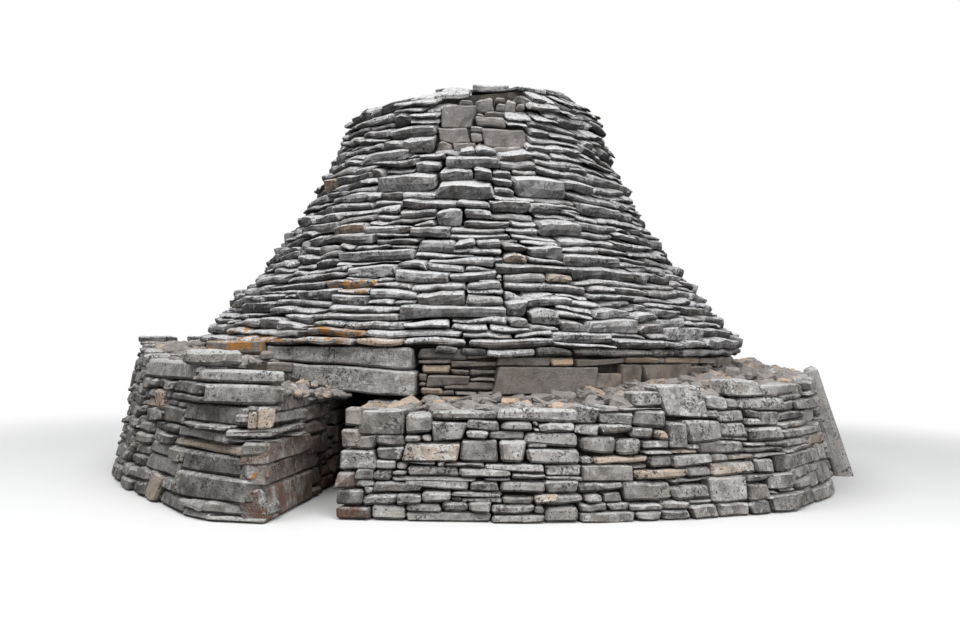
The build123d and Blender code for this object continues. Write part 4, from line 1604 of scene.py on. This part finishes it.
def roof_flags():
    """Every flag of the cone, by the node that it stands for."""
    rng = random.Random(47)
    nodes = {}

    def around(s, z):
        """The roof's whole length round, at a height."""
        return 2 * pi * roof_nose(s * 360.0 - 180.0, z)

    placed = placed_stones(CROWN_BLOCKS, seen_on_roof, around(0.5, SLUMP_BASE))
    for cell in lay(rng, 1.0, roof_sizes, lambda s: flags_end(s * 360.0 - 180.0), SPRINGING,
                    stretch_at=around, placed=placed):
        low = (cell[2] + cell[3]) / 2
        high = (cell[4] + cell[5]) / 2
        azimuth = (cell[0] + cell[1]) * 180.0 - 180.0
        share = (low - SPRINGING) / (ROOF_TOP - SPRINGING)
        nose = roof_nose(azimuth, low + 0.004)
        tread = nose - roof_nose(azimuth, high + FLAG_COURSE)
        depth = max(0.28 + 0.10 * share, tread + 0.15) + rng.uniform(0.0, 0.08)
        past_seam = rng.uniform(0.0, SEAM_OVERLAP) / (2 * pi * nose)
        left = cell[0] - (past_seam if cell[0] < 1e-4 else 0.0)
        right = cell[1] + (past_seam if cell[1] > 1 - 1e-4 else 0.0)
        cell = (left, right, *cell[2:])
        tier = min(int((low + 0.03 - SPRINGING) / TIER_HEIGHT), TIERS - 1)
        if bared(azimuth, low + 0.02):
            stone = flag(rng, cell, nose, 0.36, rng.uniform(-4, 8), rng.uniform(-0.20, -0.07))
            weather(rng, worn(rng, stone, CORE_WEAR), "core", cell[6])
            stone.tint += 0.45
            node = f"bared_core_{max(tier, TIERS - 2) + 1}"
        else:
            steepness = dip(azimuth, low) + rng.uniform(-3.0, 3.0)
            stone = flag(rng, cell, nose, depth, steepness, rng.gauss(-0.008, 0.026))
            weather(rng, worn(rng, stone, FLAG_WEAR), "roof", cell[6])
            node = f"roof_flags_{tier + 1}"
        nodes.setdefault(node, []).append(stone)
    return nodes


def eave_flags():
    """The projecting course that the roof starts on, everywhere but over the doorway."""
    rng = random.Random(53)
    start, end = 0.5, 0.5 + (360.0 + DOOR_BAY[0]) / 360.0
    nose = DRUM_OUTER + EAVE_PROJECTION
    sizes = Sizes(0.08, 0.1, 0.06, 0.10, 6.0, 0.22, 0.95, 0.9)
    stones = []
    cells = lay(rng, end - start, lambda s, z: sizes, lambda s: SPRINGING, DRUM_HEIGHT,
                stretch_at=lambda s, z: 2 * pi * nose)
    for cell in cells:
        turned = (cell[0] + start, cell[1] + start, *cell[2:6])
        stone = flag(rng, turned, nose, 0.34, 3.0, rng.gauss(-0.012, 0.016))
        stones.append(weather(rng, worn(rng, stone, EAVE_WEAR), "roof"))
    return {"eave_course": stones}


def roof_heart():
    """The plain cone behind the flags, open over the vault."""
    steps = TIERS * 3
    foot = DRUM_HEIGHT + 0.01
    sections = []
    for azimuth in np.arange(0.0, 360.0, BAY):
        top = min(ROOF_TOP - 0.10, flags_end(azimuth) - 0.03)
        outline = [(flag_back(0), foot), (roof_radius(SPRINGING) - 0.26, foot)]
        for step in range(steps + 1):
            height = SPRINGING + (ROOF_TOP - SPRINGING) * step / steps
            outline.append((roof_nose(azimuth, height) - HEART_RECESS - 0.10, min(height, top)))
        for tier in reversed(range(TIERS)):
            for height in (SPRINGING + TIER_HEIGHT * (tier + 1), SPRINGING + TIER_HEIGHT * tier):
                outline.append((min(flag_back(tier), outline[-1][0] + 0.4), min(height, top)))
        sections.append([polar(azimuth, r, z) for r, z in outline])
    return swept_heart("roof_heart", sections, PAINTED_SHADE_HEART, closed=True)


def flag_back(tier):
    """The radius at which a tier's flags end inside the cone."""
    return roof_radius(SPRINGING + TIER_HEIGHT * (tier + 1)) - FLAG_RUN


def crown_heart():
    """The fill under the slabs of the top, in a mound."""
    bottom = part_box("crown_fill")[0][2]
    sections = []
    for azimuth in np.arange(0.0, 360.0, BAY):
        slope = tan(radians(dip(azimuth, ROOF_TOP)))
        rim = roof_nose(azimuth, min(flags_end(azimuth), ROOF_TOP))
        edge = min(flag_back(TIERS - 1) + 0.02, rim - 0.22)
        outline = [(0.04, bottom), (edge, bottom)]
        for radius in (edge, edge * 0.72, 0.42, 0.04):
            height = flags_end(azimuth) + (rim - radius) * slope - 0.05
            outline.append((radius, min(height, ROOF_TOP - 0.02)))
        sections.append([polar(azimuth, r, z) for r, z in outline])
    return swept_heart("crown_heart", sections, FILL, closed=True)


CROWN_RINGS = [(0.98, 1.38, 19), (0.62, 1.04, 14), (0.30, 0.68, 9), (0.02, 0.36, 4)]
CROWN_GONE = 0.10  # the share of the crown's slabs that have gone


def crown_flags():
    """The slabs that lie over the top, with gaps where some have gone."""
    rng = random.Random(59)
    stones = []
    for inner, outer, count in CROWN_RINGS:
        turn = rng.uniform(0, 360.0)
        for i in range(count):
            start = turn + 360.0 * (i + rng.uniform(0.0, 0.09)) / count
            end = turn + 360.0 * (i + 1 - rng.uniform(0.0, 0.09)) / count
            middle = (start + end) / 2
            rim = roof_nose(middle, min(flags_end(middle), ROOF_TOP))
            far = min(outer + rng.uniform(-0.08, 0.05), rim - 0.12)
            near = inner + rng.uniform(-0.02, 0.03)
            if far - near < 0.13 or rng.random() < CROWN_GONE:
                continue
            thickness = rng.uniform(0.045, 0.075)
            slope = tan(radians(dip(middle, ROOF_TOP)))
            tops = [
                min(flags_end(middle) + (rim - r) * slope + 0.03, HIGHEST - rng.uniform(0.004, 0.02))
                for r in (far, near)
            ]
            corners = []
            for lower in (thickness, 0.0):
                for radius, top in zip((far, near), tops):
                    corners += [polar(start, radius, top - lower), polar(end, radius, top - lower)]
            stone = Stone(corners, rough=0.05, bevel=0.014)
            stones.append(weather(rng, stone, "roof"))
    return {"crown_slabs": stones}


# Loose pieces


def lying_stone(azimuth, radius, height, length, width, thickness):
    """A stone that lies along the drum, from the middle of its underside."""
    place = polar(azimuth, radius, height)
    along, across = (polar(azimuth + turn, 1.0) - (AXIS_X, 0.0, 0.0) for turn in (90.0, 180.0))
    return Stone([
        place + along * end + across * side + (0.0, 0.0, rise)
        for rise in (0.0, thickness) for side in (-width / 2, width / 2)
        for end in (-length / 2, length / 2)
    ])


def leaning_slab():
    """The long slab that stands against the ring wall at the right."""
    azimuth, length, width, thickness, lean = 82.5, 1.26, 0.42, 0.14, radians(18.0)
    start = max(i for i, corner in enumerate(RING_OUTLINE) if corner[0] <= azimuth)
    feet = [polar(c[0], DRUM_OUTER + c[1])[:2] for c in RING_OUTLINE[start:start + 2]]
    run = (feet[1] - feet[0]) / np.linalg.norm(feet[1] - feet[0])
    inward = np.array((-run[1], run[0]))
    top = RING_OUTLINE[start][2]
    foot_out = top * tan(lean) - top * BATTER
    ray = polar(azimuth, 1.0)[:2] - (AXIS_X, 0.0)
    centre = np.array((AXIS_X, 0.0))
    reach = ((feet[0] - centre) @ inward - foot_out) / (ray @ inward)
    foot = centre + ray * reach
    up = np.array((*(inward * sin(lean)), cos(lean)))
    side = np.array((*run, 0.0))
    away = np.array((*(-inward * cos(lean)), sin(lean)))
    ends = [(-0.10, -0.09, (-0.50, 0.46)), (length, 0.012, (-0.36, 0.22))]
    corners = [
        np.array((*foot, 0.0)) + up * along + side * across * width + away * out
        for along, back, sides in ends for out in (thickness, back) for across in sides
    ]
    return [Stone(corners, rough=0.11, bevel=0.05, tint=1.15, lichen=0.5)]


def terrace_flags():
    """Thin flags left lying on the terrace at the left."""
    rng = random.Random(61)
    stones = []
    for azimuth, reach in ((247.0, 0.78), (256.0, 0.71), (277.0, 0.73)):
        height = max(c[2] for c in RING_OUTLINE if c[0] <= azimuth and azimuth - c[0] < 31.0)
        stone = lying_stone(azimuth, DRUM_OUTER + reach, height, 0.52, 0.34, 0.07)
        stone.bevel = 0.016
        stones.append(weather(rng, stone, "roof"))
    return stones


def cap_boulder():
    """The pale boulder on the bastion."""
    stone = lying_stone(334.0, DRUM_OUTER + 1.16, 1.25, 0.44, 0.36, 0.14)
    stone.rough, stone.bevel, stone.tint, stone.lichen, stone.fresh = 0.07, 0.05, 1.0, 1.0, 0.12
    return [stone]


# Rubble on the terrace


def rubble_tree():
    """Scatters broken stone over a surface."""
    tree, given, result = new_tree(
        "scattered_rubble", "GeometryNodeTree",
        [
            ("Ground", "Geometry", None), ("Pieces a square metre", "Float", 60.0),
            ("Smallest", "Float", 0.05), ("Largest", "Float", 0.16), ("Flatness", "Float", 0.55),
            ("Fresh share", "Float", 0.2), ("Seed", "Int", 1), ("Stone", "Material", None),
        ],
        [("Rubble", "Geometry")],
    )

    def chance(low, high, number, kind="FLOAT"):
        """A random value for each piece, with a number of its own for its seed."""
        node = put(tree, "FunctionNodeRandomValue", 0, data_type=kind).socket.node
        limits = [socket for socket in node.inputs if socket.name in ("Min", "Max") and socket.enabled]
        for socket, value in zip(limits, (low, high)):
            if isinstance(value, Wire):
                tree.links.new(value.socket, socket)
            else:
                socket.default_value = value
        link(given["Seed"] * 31.0 + float(number), node, "Seed")
        return Wire(next(socket for socket in node.outputs if socket.enabled))

    spots = put(
        tree, "GeometryNodeDistributePointsOnFaces", "Points",
        {"Mesh": given["Ground"], "Density": given["Pieces a square metre"], "Seed": given["Seed"]},
    )
    chip = put(
        tree, "GeometryNodeMeshCube", "Mesh",
        {"Size": (1.0, 1.0, 1.0), "Vertices X": 4, "Vertices Y": 4, "Vertices Z": 3},
    )
    place = put(tree, "GeometryNodeInputPosition", 0)
    on_ball = vector_maths("SCALE", vector_maths("NORMALIZE", place), 0.62)
    rounder = put(
        tree, "ShaderNodeMix", 1, {"Factor": 0.45, 4: place, 5: on_ball}, data_type="VECTOR"
    )
    rounded = put(
        tree, "GeometryNodeSetPosition", "Geometry", {"Geometry": chip, "Position": rounder}
    )
    size = chance(given["Smallest"], given["Largest"], 1)
    uneven = vector_of(
        tree, size * chance(0.9, 1.7, 2), size, size * (given["Flatness"] * chance(0.6, 1.2, 3))
    )
    placed = put(
        tree, "GeometryNodeInstanceOnPoints", "Instances",
        {"Points": spots, "Instance": rounded, "Scale": uneven,
         "Rotation": chance((-0.45, -0.45, -3.14), (0.45, 0.45, 3.14), 4, "FLOAT_VECTOR")},
    )
    is_fresh = maths("LESS_THAN", chance(0.0, 1.0, 5), given["Fresh share"])
    fresh = is_fresh * chance(0.35, 1.0, 6)
    finish = vector_of(tree, chance(0.35, 1.0, 7), chance(0.0, 0.8, 8), fresh)
    stain = vector_of(tree, 0.0, 0.0, chance(0.0, 60.0, 9))
    for name, value in (("finish", finish), ("stain", stain)):
        placed = put(
            tree, "GeometryNodeStoreNamedAttribute", "Geometry",
            {"Geometry": placed, "Name": name, "Value": value},
            data_type="FLOAT_VECTOR", domain="INSTANCE",
        )
    loose = put(tree, "GeometryNodeRealizeInstances", "Geometry", {"Geometry": placed})
    broken = put(
        tree, "ShaderNodeTexNoise", "Color",
        {"Vector": put(tree, "GeometryNodeInputPosition", 0), "Scale": 14.0, "Detail": 1.0},
    )
    shift = vector_maths("SCALE", vector_maths("SUBTRACT", broken, (0.5, 0.5, 0.5)), 0.045)
    moved = put(tree, "GeometryNodeSetPosition", "Geometry", {"Geometry": loose, "Offset": shift})
    painted = put(
        tree, "GeometryNodeSetMaterial", "Geometry", {"Geometry": moved, "Material": given["Stone"]}
    )
    link(painted, result, "Rubble")
    return tree


GROUND_STEP = 5.0  # degrees between the rows of points of the terrace's surface
GROUND_EDGE = 0.22  # how far the surface stays behind the ring's face
GROUND_BED = 0.03  # how far it lies under the ring's top, and over it at the drum
GROUND_HIGHEST = 1.33  # at the drum


def terrace_ground(start, end, fall=0.0):
    """The terrace's surface between two azimuths, from the ring's stones to the drum."""
    points = []
    angles, reaches, heights = zip(*RING_OUTLINE)
    for azimuth in np.arange(start, end + 0.1, GROUND_STEP):
        reach, height = (float(np.interp(azimuth, angles, row)) for row in (reaches, heights))
        outer = DRUM_OUTER + reach - GROUND_EDGE - BATTER * height
        at_drum = min(height + GROUND_BED, GROUND_HIGHEST) - fall
        points.append(tuple(polar(azimuth, outer, height - GROUND_BED - 0.4 * fall)))
        points.append(tuple(polar(azimuth, DRUM_OUTER + 0.03, at_drum)))
    faces = [(a, a + 2, a + 3, a + 1) for a in range(0, len(points) - 2, 2)]
    mesh = bpy.data.meshes.new("ground")
    mesh.from_pydata(points, [], faces)
    return mesh


# Making the hut

LAID_STONES = laid_stone_tree()
SCATTERED_RUBBLE = rubble_tree()
LIMESTONE = limestone_group()
# The flags' downward faces are made darker than the other stones': painted shade under the flags
ROOF_FLAG = limestone(
    "roof_flag_limestone", (0.565, 0.556, 0.55), (0.095, 0.09, 0.09), 0.82, 0.82, relief=0.026,
    Underside=0.2, Pale_lichen=(0.76, 0.76, 0.77, 1.0),
)
RING_BLOCK = limestone("ring_block_limestone", (0.43, 0.415, 0.40), (0.085, 0.08, 0.075), 0.6, 0.85)
DRUM_BLOCK = limestone("sheltered_limestone", (0.33, 0.30, 0.275), (0.12, 0.105, 0.095), 0.25, 0.2)
RUBBLE = limestone("rubble_limestone", (0.35, 0.325, 0.31), (0.13, 0.12, 0.11), 0.4, 0.3)
FILL = limestone("packed_fill", (0.22, 0.20, 0.18), (0.06, 0.055, 0.05), 0.1, 0.5, relief=0.05)
# Near black: painted shade that shows through the joints in front of the hearts
PAINTED_SHADE_HEART = limestone("painted_shade_heart", (0.06, 0.055, 0.05), (0.02, 0.018, 0.016), 0.0, 0.3, relief=0.05)
VAULT = jointed_vault((0.28, 0.26, 0.24), (0.08, 0.075, 0.07), 0.0, 0.2, relief=0.04)

# Where rubble lies: the terrace's stretch, pieces a square metre, the smallest and largest, the seed
# and how far the surface lies under the wall's top
TERRACE_RUBBLE = {
    "front": (-5, 60, 70.0, 0.05, 0.17, 3, 0.0), "right": (60, 150, 45.0, 0.06, 0.20, 4, 0.0),
    "back": (150, 240, 45.0, 0.06, 0.20, 5, 0.0), "left": (240, 315, 45.0, 0.06, 0.20, 6, 0.0),
    "bastion": (315, 330, 85.0, 0.06, 0.18, 7, 0.0),
    "passage": (330, 345, 190.0, 0.04, 0.085, 8, 0.215),
}


def dress(piece, slot, *nodes):
    """Puts a piece on the root body and hides the part's nodes that it stands for; its slot is not
    used.
    """
    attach(piece, "root")
    if nodes:
        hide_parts(*nodes)


def build_walls():
    """The stones of the ring, the passage and the drum."""
    groups = {}
    for stones in (ring_and_reveals(), drum_stones(), room_stones()):
        for node, laid in stones.items():
            groups.setdefault(node, []).extend(laid)
    for node, stones in groups.items():
        in_drum = node.startswith(("drum", "door", "masonry"))
        piece = stones_piece(node + "_stones", stones, DRUM_BLOCK if in_drum else RING_BLOCK)
        dress(piece, "drum_masonry" if in_drum else "ring_masonry", node)


def build_roof():
    """The flags of the eave, the cone and the crown."""
    for node, stones in {**roof_flags(), **eave_flags(), **crown_flags()}.items():
        material = RUBBLE if node.startswith("bared") else ROOF_FLAG
        piece = stones_piece(
            node + "_stones", stones, material, cuts=(7, 5, 4), break_size=0.13, wave=(0.085, 0.38)
        )
        slots = {"bared": "rubble_fill", "eave": "drum_masonry"}
        dress(piece, slots.get(node.split("_")[0], "roof_flags"), node)


def build_single_stones():
    """The lintels and the stones that lie or lean by themselves."""
    for node, stones in lintels().items():
        piece = stones_piece(node + "_stone", stones, RING_BLOCK, cuts=(18, 6, 6), break_size=0.28)
        dress(piece, "lintel_stone", node)
    for node, stones, material, slot in (
        ("leaning_slab", leaning_slab(), RING_BLOCK, "lintel_stone"),
        ("terrace_flags", terrace_flags(), ROOF_FLAG, "roof_flags"),
        ("cap_boulder", cap_boulder(), RING_BLOCK, "ring_masonry"),
    ):
        piece = stones_piece(node + "_stone", stones, material, cuts=(9, 6, 9), break_size=0.25)
        dress(piece, slot, node)


def build_hearts_and_rubble():
    """The plain masonry behind the stones, and the rubble that lies on the terrace."""
    dress(ring_heart(), "ring_masonry")
    dress(passage_hearts(), "rubble_fill")
    dress(drum_heart(), "drum_masonry")
    dress(roof_heart(), "rubble_fill")
    dress(crown_heart(), "rubble_fill", "crown_fill")
    for place, (start, end, density, smallest, largest, seed, fall) in TERRACE_RUBBLE.items():
        name = "terrace_rubble_" + place
        mesh = grown_mesh(name, terrace_ground(start, end, fall), SCATTERED_RUBBLE, {
            "Pieces a square metre": density, "Smallest": smallest, "Largest": largest,
            "Seed": seed, "Stone": RUBBLE,
        })
        dress(finished_piece(name, mesh), "rubble_fill")


def finish_kept_nodes():
    """The part's own solids that still show get the finish of their place."""
    for name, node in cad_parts.items():
        if name.startswith("terrace_fill") or name == "crown_collar":
            material = FILL
        elif name.startswith("vault") or name == "closing_slab":
            material = VAULT
        else:
            continue
        node.data.materials.clear()
        node.data.materials.append(material)


# Stage, light and camera

FLOOR_REACH = 60.0
FADE = (5.2, 10.5)  # how far from the middle the floor starts to fade into the white, and ends
AIM = Vector((0.0, 0.0, 1.5))
WHITE = {"Color": (1.0, 1.0, 1.0, 1.0), "Strength": 1.0}
SKYLIGHT = {"Color": (0.95, 0.97, 1.0, 1.0), "Strength": 0.27}
# The place, power in watts and width in metres of each soft lamp
LAMPS = {
    "overcast_sky": ((-2.0, -7.0, 12.5), 1580.0, 13.0),
    "soft_fill": ((7.0, -12.0, 5.0), 960.0, 9.0),
    "back_sky": ((-5.0, 9.0, 11.0), 500.0, 12.0),
}


def lay_floor():
    """A pale floor that fades into the white far out."""
    mesh = bpy.data.meshes.new("floor")
    corners = [(x * FLOOR_REACH, y * FLOOR_REACH, 0) for x, y in ((-1, -1), (1, -1), (1, 1), (-1, 1))]
    mesh.from_pydata(corners, [], [(0, 1, 2, 3)])
    floor = bpy.data.objects.new("floor", mesh)
    bpy.context.scene.collection.objects.link(floor)
    paper = bpy.data.materials.new("pale_floor")
    paper.use_nodes = True
    tree = paper.node_tree
    shader = tree.nodes["Principled BSDF"]
    shader.inputs["Roughness"].default_value = 0.9
    shader.inputs["Specular IOR Level"].default_value = 0.1
    to_camera = put(tree, "ShaderNodeLightPath", "Is Camera Ray")
    tone = blend(to_camera, (0.34, 0.34, 0.33, 1.0), (0.86, 0.86, 0.855, 1.0))
    link(tone, shader, "Base Color")
    place = put(tree, "ShaderNodeTexCoord", "Object")
    away = put(tree, "ShaderNodeVectorMath", "Value", {0: place}, operation="LENGTH")
    white = put(tree, "ShaderNodeEmission", 0, WHITE)
    faded = {0: between(away, *FADE) * to_camera, 1: Wire(shader.outputs[0]), 2: white}
    both = put(tree, "ShaderNodeMixShader", 0, faded)
    link(both, tree.nodes["Material Output"], "Surface")
    mesh.materials.append(paper)
    floor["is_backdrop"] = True


def raise_sky():
    """A white sky that gives a faint, even light."""
    world = bpy.data.worlds.new("sky")
    bpy.context.scene.world = world
    world.use_nodes = True
    tree = world.node_tree
    tree.nodes.clear()
    rays = put(tree, "ShaderNodeLightPath", 0).socket.node.outputs
    seen = maths("MAXIMUM", Wire(rays["Is Camera Ray"]), Wire(rays["Is Glossy Ray"]))
    seen = maths("MAXIMUM", seen, Wire(rays["Is Transmission Ray"]))
    light = put(tree, "ShaderNodeBackground", 0, SKYLIGHT)
    white = put(tree, "ShaderNodeBackground", 0, WHITE)
    mixed = put(tree, "ShaderNodeMixShader", 0, {0: seen, 1: light, 2: white})
    link(mixed, tree.nodes.new("ShaderNodeOutputWorld"), "Surface")


def hang_lamps():
    """The soft lamps of an overcast day."""
    for name, (place, power, width) in LAMPS.items():
        light = bpy.data.lights.new(name, "AREA")
        light.energy = power
        light.size = width
        lamp = bpy.data.objects.new(name, light)
        lamp.location = place
        lamp.rotation_euler = (AIM - Vector(place)).to_track_quat("-Z", "Y").to_euler()
        bpy.context.scene.collection.objects.link(lamp)


def stand_camera():
    """The camera, where the photograph was taken from."""
    lens = bpy.data.cameras.new("camera")
    lens.sensor_width = 36.0
    lens.lens = LENS_FOR_36_MM
    lens.clip_end = 200.0
    camera = bpy.data.objects.new("camera", lens)
    camera.matrix_world = Matrix.Translation(CAMERA_PLACE) @ CAMERA_FRAME
    bpy.context.scene.collection.objects.link(camera)
    bpy.context.scene.camera = camera
    bpy.context.scene.view_settings.view_transform = "Standard"


build_walls()
build_roof()
build_single_stones()
build_hearts_and_rubble()
finish_kept_nodes()
lay_floor()
raise_sky()
hang_lamps()
stand_camera()
sizes = {"cad": cad_box, "visual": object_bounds()}
{key: [list(map(float, corner)) for corner in box] for key, box in sizes.items()}
